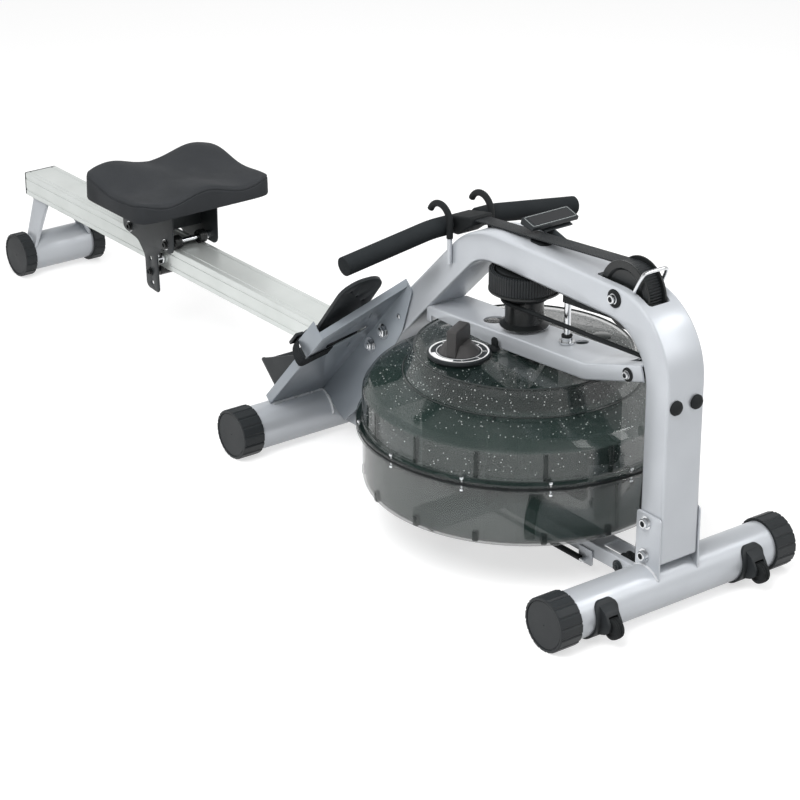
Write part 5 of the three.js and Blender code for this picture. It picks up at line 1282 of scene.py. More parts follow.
@dataclass
class Tank:
    """The smoked tank, its water, paddles, tray and dial."""

    wall: float = 4.0
    radius: float = 266.0
    rim: float = 277.0
    low: float = 88.0
    flange: Flat = (190.0, 196.0)
    upper_flange: Flat = (200.6, 206.6)
    mouth: float = 22.0
    water_top: float = 253.0
    gap: float = 0.4
    bore: float = 8.6
    screws: int = 12
    feet: int = 15
    first_rib: float = math.radians(-31.6)
    axis: Point = (TANK_X, 0.0, 0.0)

    def build(self) -> None:
        """Makes the tank from the bowl up."""
        self.bowl()
        self.shell()
        self.water()
        self.tray()
        self.paddles()
        self.ribs()
        self.clip_screws()
        self.droplets()
        self.dial()
        self.valve()
        self.plug()
        self.lid_cover()

    def dial_bore(self) -> Piece:
        """The room for the dial's stem through lid and tray."""
        return Bench.rod("dial_bore", self.bore, 270, 340, on_floor(DIAL), Axis.Z, 32)

    def bowl(self) -> None:
        """The lower bowl with its rounded foot and rolled flange, and the seal on it."""
        r, inner, low = self.radius, self.radius - self.wall, self.low
        under, top = self.flange
        outline = rounded([(0, low), (r, low, 18), (r, under, 2), (self.rim, under, 2), (self.rim, top, 2),
                           (inner, top), (inner, low + self.wall, 14), (0, low + self.wall)], 8)
        bowl = Bench.turned("tank_bowl", outline, self.axis, Axis.Z, 160)
        Bench.dress(bowl, SMOKED, "frame", ("tank_lower_bowl",), 30)
        seal = Bench.ring("tank_gasket", (r, self.rim - 1), (top + 0.3, top + 4.3), self.axis, Axis.Z, 128)
        Bench.dress(seal, RUBBER, "frame", ("tank_seal",))

    def shell(self) -> None:
        """The upper shell: flange, wall, shoulder, slope, riser and lid."""
        r, inner, ceiling = self.radius, self.radius - self.wall, LID - self.wall
        under, top = self.upper_flange
        outside = [(self.mouth, LID), (182, LID, 6), (198, 288, 3), (254, 274, 14), (r, 258, 12), (r, top, 3)]
        foot = [(self.rim, top, 2), (self.rim, under, 2), (inner, under)]
        inside = [(inner, 256, 12), (253, 270, 10), (194, 284, 3), (178, ceiling, 3), (self.mouth, ceiling)]
        outline = rounded(outside + foot + inside, 6)
        shell = Bench.turned("tank_shell", outline + outline[:1], self.axis, Axis.Z, 160)
        plug = Bench.rod("plug_bore", 5.6, 300, 340, on_floor(PLUG), Axis.Z, 24)
        Bench.carve(shell, self.dial_bore(), plug)
        Bench.dress(shell, SMOKED, "frame", ("tank_upper_shell",), 30)

    def water(self) -> None:
        """The water body, a hair clear of the bowl, with a bore for the paddles' hub."""
        r, low = self.radius - self.wall - self.gap, self.low + self.wall + self.gap
        top, hub = self.water_top - 1.5, 26.0
        outline = rounded([(hub, low), (r, low, 14), (r, self.water_top - 0.6), (r - 3, top), (hub, top)], 8)
        water = Bench.turned("tank_water", outline + outline[:1], self.axis, Axis.Z, 128)
        Bench.dress(water, WATER, "frame", (), 40)

    def tray(self) -> None:
        """The reserve tray under the lid, with its central tube."""
        low, floor, top = 282.0, 285.6, LID - self.wall - self.gap
        outside, inside, tube, bore = 172.0, 168.4, 26.0, self.mouth + 0.2
        outline = rounded([(bore, low), (outside, low, 4), (outside, top), (inside, top), (inside, floor),
                           (tube, floor), (tube, top), (bore, top)], 5)
        tray = Bench.turned("reserve_tray", outline + outline[:1], self.axis, Axis.Z, 128)
        Bench.carve(tray, self.dial_bore())
        Bench.dress(tray, TRAY, "frame", ("inner_tank",), 30)

    def paddles(self) -> None:
        """Six paddles with rounded tips on a hub, and the steel shaft."""
        reach, thick, low, top = 168.0, 5.0, 106.0, 228.0
        shape = rounded([(0, low), (reach, low, 16), (reach, 262, 34), (0, top)], 8)
        blade = Bench.plate("blade", upright([(TANK_X + a, z) for a, z in shape], -thick / 2), (0, thick, 0))
        Bench.bevel(blade, 1.6, 2)
        blades = Bench.spread(blade, 6, self.axis)
        profile = [(10.5, 104), (22, 104), (24, low), (24, top - 2), (22, top), (10.5, top), (10.5, 104)]
        hub = Bench.turned("hub", profile, self.axis, Axis.Z, 48)
        rotor = Bench.gather([*blades, hub], "paddle_rotor")
        Bench.dress(rotor, MOULDED_ABS, "paddles", ("impeller",))
        profile = [(0, 92.4), (10, 92.4), (10, 102), (23, 102), (24, 103), (24, 105.4), (10, 105.7),
                   (10, 461), (9, 462), (0, 462)]
        shaft = Bench.turned("drive_shaft", profile, self.axis, Axis.Z, 48)
        Bench.dress(shaft, BRIGHT_STEEL, "paddles", ("impeller_shaft",))

    def ribs(self) -> None:
        """Moulded feet round the bowl, ribs up the wall, and dark beads round the lid and the riser as
        painted shade for the walls' edges.
        """
        parts = []
        outer = self.radius + 0.5
        for name, inner, low, high, half, soft in (("foot", 258, 96, 115, 5.5, 3.0),
                                                   ("rib", 260, 208, 254, 4, 1.8)):
            master = Bench.block(name, (TANK_X + inner, -half, low), (TANK_X + outer, half, high))
            Bench.bevel(master, soft, 3)
            parts += Bench.spread(master, self.feet, self.axis, self.first_rib)
        Bench.dress(Bench.gather(parts, "tank_ribs"), RIB_RESIN, "frame")
        # The two beads are dark, opaque painted shade: they draw the dark lines that the clear walls show
        # where they are seen edge-on
        beads = []
        arc = [math.tau * k / 10 for k in range(10)]
        for reach, high, thick in ((180.6, 329.4, 1.7), (199.4, 288.6, 1.5)):
            ring = [(reach + thick * math.cos(t), high + thick * math.sin(t)) for t in arc]
            beads.append(Bench.turned("bead", ring + ring[:1], self.axis, Axis.Z, 160))
        Bench.dress(Bench.gather(beads, "lid_shade_beads"), DARK_RESIN, "frame", (), 60)

    def clip_screws(self) -> None:
        """Bright screws through the flange, a nut under each."""
        nut = [(0, 186.4), (3.4, 186.4), (3.4, 189.4), (1.8, 189.8)]
        head = [(1.8, 206.8), (4, 207), (4, 209), (2.6, 210.6), (0, 210.8)]
        screw = Bench.turned("screw", nut + head, (TANK_X + self.radius + 6, 0, 0), Axis.Z, 16)
        screws = Bench.spread(screw, self.screws, self.axis)
        Bench.dress(Bench.gather(screws, "flange_screws"), BRIGHT_STEEL, "frame")

    def drop_place(self, pick: float, share: float) -> Flat:
        """Where a drop hangs, as its reach from the axis and its height: wall, slope, riser or lid."""
        if pick < 0.2:
            return (261.4, 208 + 46 * share)
        if pick < 0.45:
            return (250 - 54 * share, 270 + 13 * share)
        if pick < 0.75:
            return (193 - 14 * share, 285 + 38 * share)
        return (176 - 90 * share * share, 325.4)

    def droplets(self) -> None:
        """Drops and bubbles on the inside of the wall and under the lid, near white as painted glints."""
        rng = random.Random(7)
        Bench.clear()
        bpy.ops.mesh.primitive_ico_sphere_add(subdivisions=1, radius=MM, location=(0, 0, 0))
        seed = bpy.context.object
        parts = []
        for _ in range(2100):
            angle = rng.uniform(0, math.tau)
            pick, share = rng.random(), rng.random()
            reach, high = self.drop_place(pick, share)
            size = rng.uniform(0.4, 1.0) ** 1.5 * 1.3
            drop = seed.copy()
            drop.data = seed.data.copy()
            bpy.context.collection.objects.link(drop)
            spot = place(TANK_X + reach * math.cos(angle), reach * math.sin(angle), high)
            drop.data.transform(Matrix.Translation(spot) @ Matrix.Diagonal((size, size, size, 1)))
            parts.append(drop)
        bpy.data.objects.remove(seed)
        Bench.dress(Bench.gather(parts, "water_drops"), GLINT_DROPLET, "frame")

    def dial(self) -> None:
        """The level dial: a black disc with a printed ring, plain numbers and a winged knob."""
        profile = [(0, -36), (7.8, -36), (7.8, 0.3), (50, 0.3), (52, 3), (52, 7.2),
                   (50, 9), (48.6, 9), (47.6, 8.2),
                   (34, 8.2), (33, 9), (27, 14), (0, 14)]
        disc = Bench.turned("dial_disc", profile, DIAL, Axis.Z, 96)
        Bench.dress(disc, MOULDED_ABS, "dial", ("adjuster_dial",), 30)
        self.dial_print()
        self.dial_knob()

    def dial_print(self) -> None:
        """The printed rings, the crescent and the numbers one to six."""
        x, y, z = DIAL
        prints = []
        for inner, outer in ((46.6, 49.2), (36.5, 37.6)):
            ring = [(inner, 8.0), (outer, 8.4), (outer, 9.3), (inner, 8.9), (inner, 8.0)]
            prints.append(Bench.turned("ring", ring, DIAL, Axis.Z, 96))
        near = [math.radians(-118 + 6 * k) for k in range(12)]
        shape = [(x + 46 * math.cos(t), y + 46 * math.sin(t)) for t in near]
        shape += [(x + 39.5 * math.cos(t), y + 39.5 * math.sin(t)) for t in reversed(near)]
        prints.append(Bench.plate("crescent", level(shape, z + 8), (0, 0, 0.7)))
        for number in range(6):
            angle = math.radians(-32 + 42 * number)
            spot = place(x + 42 * math.cos(angle), y + 42 * math.sin(angle), z + 8.3)
            Bench.clear()
            bpy.ops.object.text_add(location=spot, rotation=(0, 0, angle + math.pi / 2))
            digit = bpy.context.object
            digit.data.body = str(number + 1)
            digit.data.size = 8.5 * MM
            digit.data.extrude = 0.2 * MM
            digit.data.align_x = "CENTER"
            digit.data.align_y = "CENTER"
            bpy.ops.object.convert(target="MESH")
            bpy.ops.object.mode_set(mode="EDIT")
            prints.append(Bench.settle(Bench.close_up(digit), "digit"))
        Bench.dress(Bench.gather(prints, "dial_print"), PRINT_WHITE, "dial")

    def dial_knob(self) -> None:
        """The tall fin on its cone."""
        x, y, z = DIAL
        half, foot, top = 9.0, z + 8.6, z + 54
        fin = rounded([(x - 27, foot), (x + 34, foot), (x + 32, top, 5), (x - 26, top, 12)], 5)
        wing = Bench.plate("dial_knob", upright(fin, y - half), (0, 2 * half, 0))
        Bench.bevel(wing, 2.2, 3)
        profile = [(0, 8.5), (33.5, 8.5), (33, 10), (24, 22), (20, 25), (0, 25)]
        base = Bench.turned("base", profile, DIAL, Axis.Z, 64)
        knob = Bench.gather([wing, base], "dial_knob")
        Bench.swung(knob, "dial_wing_knob", math.radians(-62), DIAL)
        Bench.dress(knob, KNOB_ABS, "dial", (), 30)

    def valve(self) -> None:
        """The dark valve body that stands in the tray under the dial."""
        profile = [(self.bore, 286), (36, 286), (38, 288), (38, 320), (34, 324),
                   (self.bore, 324), (self.bore, 286)]
        body = Bench.turned("level_valve", profile, on_floor(DIAL), Axis.Z, 64)
        Bench.dress(body, MOULDED_ABS, "frame", (), 30)

    def plug(self) -> None:
        """The rubber fill plug with its pull tab."""
        x, y, z = PLUG
        profile = [(0, -4), (4.6, -4), (5, -3), (5, 0.3), (9, 0.3), (9, 4), (8, 5.6), (6.4, 8.4), (0, 9)]
        body = Bench.turned("body", profile, PLUG, Axis.Z, 32)
        neck = Bench.block("neck", (x - 15, y - 2.6, z + 1.6), (x - 2, y + 2.6, z + 4.8))
        Bench.bevel(neck, 0.8, 2)
        foot, top = z + 7, z + 23
        shape = rounded([(x - 6, foot), (x + 8, foot), (x + 9, top, 7), (x - 7, top, 7)], 6)
        tab = Bench.plate("tab", upright(shape, y - 2), (0, 4, 0))
        Bench.bevel(tab, 1.2, 2)
        Bench.dress(Bench.gather([body, neck, tab], "fill_stopper"), RUBBER, "plug", ("fill_plug",))

    def lid_cover(self) -> None:
        """The moulded disc on the lid's far side."""
        profile = [(0, 0.2), (15.5, 0.2), (15.5, 1.6), (14, 2.6), (0, 3)]
        cover = Bench.turned("lid_cover", profile, (-310, 129, LID), Axis.Z, 48)
        Bench.dress(cover, DARK_RESIN, "frame")


# Drive


@dataclass
class Drive:
    """The bracket over the tank, the drum, the belt's guard and the bungee's run."""

    cord: float = 3.75
    wind: float = 36.085
    wind_z: float = 412.5
    turns: float = 1.0833
    peg_x: float = -164.5
    rod_x: float = -250.0
    half: float = 42.0
    sheet: float = 3.0

    def build(self) -> None:
        """Makes every piece between the beam and the floor."""
        self.bracket()
        self.drum()
        self.tie_rod()
        self.guard()
        self.base_rail()
        self.wheels()
        self.bungee()

    def bracket_line(self, depth: float) -> list[Flat]:
        """The bracket's side view for a given depth below its top."""
        top = [(-566.0, 344.0), (-160.0, 376.0, 90), (-8.0, 423.0)]
        low = [(x, z - depth, *rest) for x, z, *rest in reversed(top)]
        return rounded(top + low, 10)

    def bracket(self) -> None:
        """The folded channel over the tank, cut to the leg and the post."""
        half, thick = self.half, self.sheet
        body = Bench.plate("bracket", upright(self.bracket_line(29), -half), (0, 2 * half, 0))
        Bench.bevel(body, 3, 3, 60)
        inside = [(x, z - thick) for x, z in self.bracket_line(80)]
        over = (TANK_X, 0, 0)
        tools = [
            Bench.plate("inside", upright(inside, thick - half), (0, 2 * (half - thick), 0)),
            Bench.rod("shaft_hole", 27, 200, 460, over, Axis.Z),
            Bench.rod("plug_hole", 19, 200, 460, (-425, -7, 0), Axis.Z, 48),
            Bench.rod("side_hole", 11, 200, 460, (-238, 22, 0), Axis.Z, 48),
            Bench.rod("lid_room", 198.3, 60, LID + 0.3, over, Axis.Z, 96),
            Bench.rod("dial_room", 52.9, 300, 420, on_floor(DIAL), Axis.Z),
            Bench.block("pulley_way", (-78.5, -17.5, 374.5), (-15, 17.5, 470)),
            Bench.plate("post_room", upright(Arch().outline(), -60), (0, 120, 0)),
        ]
        Bench.carve(body, *tools)
        Bench.dress(body, POWDER_COAT, "frame", ("top_bracket",))
        x, _, z = UPPER_WHEEL
        axle = Bench.rod("axle", 4, -half - 0.2, half + 0.2, UPPER_WHEEL, steps=32)
        heads = []
        for side in Side:
            way = side.value
            FASTENERS.black_washer(f"bracket_washer_{side.word}", (x, (half + 0.1) * way, z), side, 11.5)
            heads.append(FASTENERS.socket_head("head", (x, (half + 1.8) * way, z), side, 6.4, 5.6, 1.1))
        Bench.dress(Bench.gather([axle, *heads], "bungee_axle_upper"), BRIGHT_STEEL, "frame")

    def drum(self) -> None:
        """The two-step drum: a flanged belt spool over a smooth bungee spool."""
        bungee_spool = [(10.5, 368), (40, 368), (41, 369), (41, 371), (38, 372.4), (32, 375.6), (32, 424)]
        flange = [(33, 426), (58.4, 429), (60, 430), (60, 433), (59, 434)]
        belt_spool = [(48, 434), (48, 467), (16, 467), (15, 465), (10.5, 465), (10.5, 368)]
        profile = bungee_spool + flange + belt_spool
        drum = Bench.turned("belt_drum", profile, (TANK_X, 0, 0), Axis.Z, 96)
        Bench.dress(drum, GLOSSY_NYLON, "drum", ("drive_drum",), 25)

    def tie_rod(self) -> None:
        """The threaded rod between bracket and beam with its nuts."""
        at = (self.rod_x, 0, 0)
        profile = [(0, 370.4), (13.2, 370.4), (13.2, 374), (9.3, 374.2), (9.3, 381), (8, 381.6), (5.5, 381.8),
                   (5.5, 469.7), (0, 469.7)]
        rod = Bench.turned("tie_rod_turned", profile, at, Axis.Z, 48)
        Bench.dress(rod, BRIGHT_STEEL, "frame", ("tie_rod",))
        profile = [(5.8, 382), (8.6, 382), (9.4, 383.5), (8.6, 385), (5.8, 385), (5.8, 382)]
        ring = Bench.turned("tie_rod_ring", profile, at, Axis.Z, 32)
        Bench.dress(ring, RUBBER, "frame")

    def guard(self) -> None:
        """The grained guard takes its solid's shape, with a curved lower edge and softened edges."""
        twin = Bench.from_node("belt_guard", "belt_guard_moulding")
        edge = rounded([(-265, 400), (-265, 470), (-246, 449, 12), (-185, 453), (-150, 457, 8), (-122, 452),
                        (-88, 446.8), (-60, 446.8), (-60, 400)], 6)
        Bench.carve(twin, Bench.plate("lower_edge", upright(edge, -60), (0, 74, 0)))
        Bench.bevel(twin, 0.5, 2)
        Bench.dress(twin, GRAINED_ABS, "frame", ("belt_guard",))

    def base_rail(self) -> None:
        """The channel under the tank with its cross bar, tab, pins and nuts."""
        half, low, top, thick = 24.0, 34.0, 61.0, self.sheet
        rear, front = MID_X + 20, FRONT_X - 20
        shape = oblong((-half, low), (half, top), 4, 5, foot=0)
        rail = Bench.plate("base", [(rear, y, z) for y, z in shape], (front - rear, 0, 0))
        inside = Bench.block("inside", (rear - 4, thick - half, 20), (0, half - thick, top - thick))
        slot = Bench.plate("slot", level(oblong((-128, -17), (-48, 17), 3), 50), (0, 0, 20))
        tubes = [Bench.rod("tube", TUBE_ROOM, -60, 60, (x, 0, FOOT_Z)) for x in (FRONT_X, MID_X)]
        Bench.carve(rail, inside, slot, *tubes)
        reach, wide, cross_low, cross_top = 206.0, 27.0, 60.9, 87.7
        section = oblong((TANK_X - wide, cross_low), (TANK_X + wide, cross_top), 5, 5, foot=0)
        cross = Bench.plate("cross", upright(section, -reach), (0, 2 * reach, 0))
        under = Bench.block("under", (TANK_X - wide + thick, -reach - 4, 55),
                            (TANK_X + wide - thick, reach + 4, cross_top - thick))
        Bench.carve(cross, under)
        tab_side = rounded([(-176, 46), (-176, 18, 4), (-143, 18, 4), (-143, 46)])
        tab = Bench.plate("tab", upright(tab_side, -27), (0, 3.2, 0))
        Bench.bevel(tab, 0.6, 2)
        Bench.dress(Bench.gather([rail, cross, tab], "base_channel"), POWDER_COAT, "frame", ("base_rail",))
        for side in Side:
            near, far = sorted((reach * side.value, (reach + 2) * side.value))
            stop = Bench.block(f"cross_end_{side.word}", (TANK_X - wide + 0.2, near, cross_low + 0.3),
                               (TANK_X + wide - 0.2, far, cross_top - 0.2))
            Bench.bevel(stop, 0.6, 2)
            Bench.dress(stop, MOULDED_ABS, "frame")
        self.base_pins()

    def base_pins(self) -> None:
        """The bungee's peg and the pins of its two lower wheels."""
        x, _, z = LOWER_WHEEL
        peg = Bench.turned("peg", [(0, 0), (4, 0), (4, -9), (3, -10), (0, -10)],
                           (-160, -27, 26.5), Axis.Y, 24)
        rod = Bench.rod("rod", 4, -27, 27, LOWER_WHEEL, steps=24)
        profile = [(0, 16.7), (8, 16.7), (8, 19), (4, 19.7), (4, 59), (0, 59)]
        pin = Bench.turned("pin", profile, (REAR_WHEEL[0], -16, 0), Axis.Z, 24)
        Bench.dress(Bench.gather([peg, rod, pin], "base_pins"), BRIGHT_STEEL, "frame")
        nuts = [FASTENERS.hex_nut("nut", (x, 24.2 * side.value, z), side, 8, 5) for side in Side]
        Bench.dress(Bench.gather(nuts, "base_nuts"), BLACK_STEEL, "frame")

    def wheels(self) -> None:
        """The bungee's three grooved wheels."""
        half = [(12, 0), (13, 2.6), (17, 5), (17.5, 5.7), (17, 6.2), (4.6, 6.2)]
        for word, at, axis in (("upper", UPPER_WHEEL, Axis.Y), ("lower", LOWER_WHEEL, Axis.Y),
                               ("rear", REAR_WHEEL, Axis.Z)):
            wheel = Bench.turned(f"bungee_wheel_{word}_turned", both_ways(half, True), at, axis, 64)
            Bench.dress(wheel, GLOSSY_NYLON, f"bungee_wheel_{word}", (f"bungee_pulley_{word}",), 25)

    def route(self) -> list[Point]:
        """The bungee's middle line, from the drum to its peg."""
        run = CORD_RUN
        points: list[Point] = []
        steps = 40
        for k in range(steps + 1):
            turn = self.turns * (steps - k) / steps
            angle = -math.pi / 2 - math.tau * turn
            points.append((TANK_X + self.wind * math.cos(angle), self.wind * math.sin(angle),
                           self.wind_z + 9 * turn))
        (ux, _, uz), (lx, _, lz), (rx, ry, rz) = UPPER_WHEEL, LOWER_WHEEL, REAR_WHEEL
        drop = math.atan2(ux - lx, uz - lz)
        for k in range(13):
            angle = math.pi / 2 + (-drop - math.pi / 2) * k / 12
            points.append((ux + run * math.cos(angle), 0, uz + run * math.sin(angle)))
        for k in range(13):
            angle = -drop + (-math.pi / 2 + drop) * k / 12
            points.append((lx + run * math.cos(angle), 0, lz + run * math.sin(angle)))
        for k in range(17):
            angle = math.pi / 2 + math.pi * k / 16
            points.append((rx + run * math.cos(angle), ry + run * math.sin(angle), rz))
        points.append((self.peg_x, -2 * run, rz))
        return points

    def bungee(self) -> None:
        """The shock cord in its braided cover, with its crimped sleeve."""
        cord = Bench.swept("bungee_line", self.route(), self.cord, 12)
        Bench.dress(cord, RUBBER, "frame", ("bungee_cord",), 60)
        at = (self.peg_x - 0.5, -2 * CORD_RUN, REAR_WHEEL[2])
        profile = [(3.9, -72), (5, -71), (5, -1), (3.9, 0), (3.9, -72)]
        sleeve = Bench.turned("bungee_sleeve", profile, at, Axis.X, 24)
        Bench.dress(sleeve, RUBBER, "frame")


# Handle


@dataclass
class Handle:
    """The bent bar with its grips, the clasp, the belt and the two hooks."""

    x: float = -523.9
    z: float = 498.0
    straight: float = 66.0
    half: float = 243.0
    drop: float = 25.0
    hook_x: float = -501.0
    hook_y: float = 43.6
    belt_half: float = 15.0
    belt_thick: float = 2.4
    seat_radius: float = 47.95
    pull_steps: int = 60
    coil_radius: float = 59.567
    coil_pitch: float = 3.2
    coil_z: float = 449.6

    def build(self) -> None:
        """Makes the handle and what holds it."""
        self.bar()
        self.clasp()
        self.hooks()
        self.belt()

    def run(self, start: float, end: float, steps: int = 48) -> list[Point]:
        """The bar's middle line between two places across the machine."""
        slope = self.drop / (self.half - self.straight)
        soft = 16.5
        points = []
        for k in range(steps + 1):
            y = start + (end - start) * k / steps
            past = abs(y) - self.straight
            if past <= -soft:
                low = 0.0
            elif past >= soft:
                low = past
            else:
                low = (past + soft) ** 2 / (4 * soft)
            points.append((self.x, y, self.z - slope * low))
        return points

    def bar(self) -> None:
        """The steel core and the two foam sleeves with rounded ends."""
        core = Bench.swept("handle_core", self.run(-227, 227), 8.9, 12)
        Bench.dress(core, BLACK_STEEL, "handle", ("handle_bar",), 60)
        for side in Side:
            way = side.value
            sleeve = Bench.swept(f"grip_sleeve_{side.word}", self.run(31.5 * way, self.half * way), 16.4, 24)
            Bench.bevel(sleeve, 4, 4, 60)
            Bench.dress(sleeve, GRIP_FOAM, "handle", (f"handle_grip_{side.word}",), 60)

    def clasp(self) -> None:
        """The moulded saddle round the bar's middle that the belt is sewn to."""
        x, z = self.x, self.z
        tip = (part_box("belt_clasp")[1].x - ORIGIN_X) / MM - 0.5
        shape = rounded([(x - 2, z - 16, 8), (x + 16, z - 15, 10), (tip, 509.6, 5), (tip, 524.4, 5),
                         (x + 8, z + 17, 14), (x - 16, z + 12, 14), (x - 16, z - 10, 10)], 6)
        clasp = Bench.plate("belt_saddle", upright(shape, -23.5), (0, 47, 0))
        Bench.bevel(clasp, 4, 4, 60)
        Bench.dress(clasp, RUBBER, "handle", ("belt_clasp",), 40)

    def hooks(self) -> None:
        """Two painted stems with rubber-sleeved hooks."""
        x, reach, crown = self.hook_x, 27.0, 510.0
        for side in Side:
            y = self.hook_y * side.value
            stem = Bench.swept(f"hook_stem_{side.word}", [(x, y, 440), (x, y, 466), (x, y, 489)], 4.2, 10)
            Bench.dress(stem, POWDER_COAT, "frame")
            path = [(x, y, 484.2), (x, y, 496), (x, y, 504)]
            for k in range(17):
                angle = math.pi * 0.86 * k / 16
                path.append((x - reach + reach * math.cos(angle), y, crown + reach * math.sin(angle)))
            hook = Bench.swept(f"hook_sleeve_{side.word}", path, 5.7, 14)
            Bench.bevel(hook, 2.4, 3, 60)
            Bench.dress(hook, RUBBER, "frame", (f"handle_hook_{side.word}",), 60)

    def over_pulley(self) -> list[tuple[Vector, Vector, Vector]]:
        """The belt from the clasp to the pulley and round it, in millimetres."""
        stations = []
        across = Vector((0, 1, 0))
        centre, start = Vector(PULLEY), Vector(BELT_START)
        gap = centre - start
        first = math.atan2(gap.z, gap.x) + math.pi - math.acos(self.seat_radius / gap.length)
        out = Vector((math.cos(first), 0, math.sin(first)))
        touch = centre + out * self.seat_radius
        for k in range(self.pull_steps):
            stations.append((start.lerp(touch, k / self.pull_steps), across, out))
        for k in range(49):
            angle = first - (first + math.pi / 2) * k / 48
            out = Vector((math.cos(angle), 0, math.sin(angle)))
            stations.append((centre + out * self.seat_radius, across, out))
        return stations

    def to_drum(self) -> list[tuple[Vector, Vector, Vector]]:
        """The belt's twisted run under the beam and its coil on the drum, in millimetres."""
        side_way, up = Vector((0, 1, 0)), Vector((0, 0, 1))
        outer, high = self.coil_radius, self.coil_z
        x, _, z = PULLEY
        leave = Vector((x - math.sqrt(56**2 - 46**2), 0, z - self.seat_radius))
        stations = [(leave, side_way, Vector((0, 0, -1)))]
        angle = math.acos(outer / (leave.x - TANK_X))
        land = Vector((TANK_X + outer * math.cos(angle), outer * math.sin(angle), high))
        along = (land - leave).normalized()
        for k in range(1, 24):
            share = k / 24
            twist = share * share * (3 - 2 * share) * math.pi / 2
            across = (side_way * math.cos(twist) + up * math.sin(twist)).normalized()
            stations.append((leave.lerp(land, share), across, across.cross(along).normalized()))
        for k in range(193):
            turn = angle + math.tau * k / 64
            radius = outer - self.coil_pitch * k / 64
            out = Vector((math.cos(turn), math.sin(turn), 0))
            stations.append((Vector((TANK_X, 0, high)) + out * radius, up, out))
        return stations

    def belt(self) -> None:
        """The woven belt: the pulled run from the clasp round the pulley, and the run wound on the drum."""
        stations = [(place(*spot), across, out) for spot, across, out in self.over_pulley() + self.to_drum()]
        split = self.pull_steps
        half, thick = self.belt_half, self.belt_thick / 2
        pulled = Bench.ribbon("pull_belt", stations[: split + 1], half, thick)
        self.finish_belt(pulled)
        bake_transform(pulled)
        wound = Bench.ribbon("drum_belt", stations[split:], half, thick)
        self.finish_belt(wound)
        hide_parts("handle_belt")
        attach(wound, "frame")

    def finish_belt(self, piece: Piece) -> None:
        """Gives a stretch of belt its finish."""
        piece.data.materials.append(RIBBED_BELT.material())
        bpy.ops.object.shade_smooth_by_angle(angle=math.radians(40))
        LOG.info("%s made", piece.name)


# Console


@dataclass
class Console:
    """The slim display and the sheet bracket that carries it."""

    at: Point = (-345.0, 40.0, 549.0)
    wide: float = 96.0
    deep: float = 32.0
    tilt: float = math.radians(17)

    def tilted(self, piece: Piece, name: str) -> Piece:
        """Tips a piece that was made level to the display's tilt."""
        return Bench.swung(piece, name, self.tilt, self.at, Axis.Y)

    def build(self) -> None:
        """Makes the housing, its window and the bracket."""
        x, y, z = self.at
        half = self.deep / 2
        shape = rounded([(x - half, z - 13, 3), (x + half, z - 8, 2.5), (x + half, z, 1.5),
                         (x - half, z, 2)], 4)
        body = Bench.plate("body", upright(shape, y - self.wide / 2), (0, self.wide, 0))
        Bench.bevel(body, 2, 3, 60)
        housing = self.tilted(body, "display_housing")
        Bench.dress(housing, MOULDED_ABS, "console", ("console_housing",), 40)
        outline = oblong((x - 11, y - 40), (x + 11, y + 40), 2)
        window = Bench.plate("window", level(outline, z - 0.2), (0, 0, 0.5))
        Bench.dress(self.tilted(window, "display_glass"), DISPLAY, "console")
        path = level(oblong((x - 13, y - 45), (x + 13, y + 45), 3, 4), z + 0.2)
        rim = Bench.swept("rim", path + path[:1], 0.5, 4)
        Bench.dress(self.tilted(rim, "display_rim"), DISPLAY_RIM, "console")
        self.bracket()

    def bracket(self) -> None:
        """The folded bracket takes softened edges over its solid's shape."""
        twin = Bench.from_node("console_bracket", "display_bracket")
        Bench.bevel(twin, 0.5, 2)
        Bench.dress(twin, BLACK_STEEL, "frame", ("console_bracket",))


# Footrests


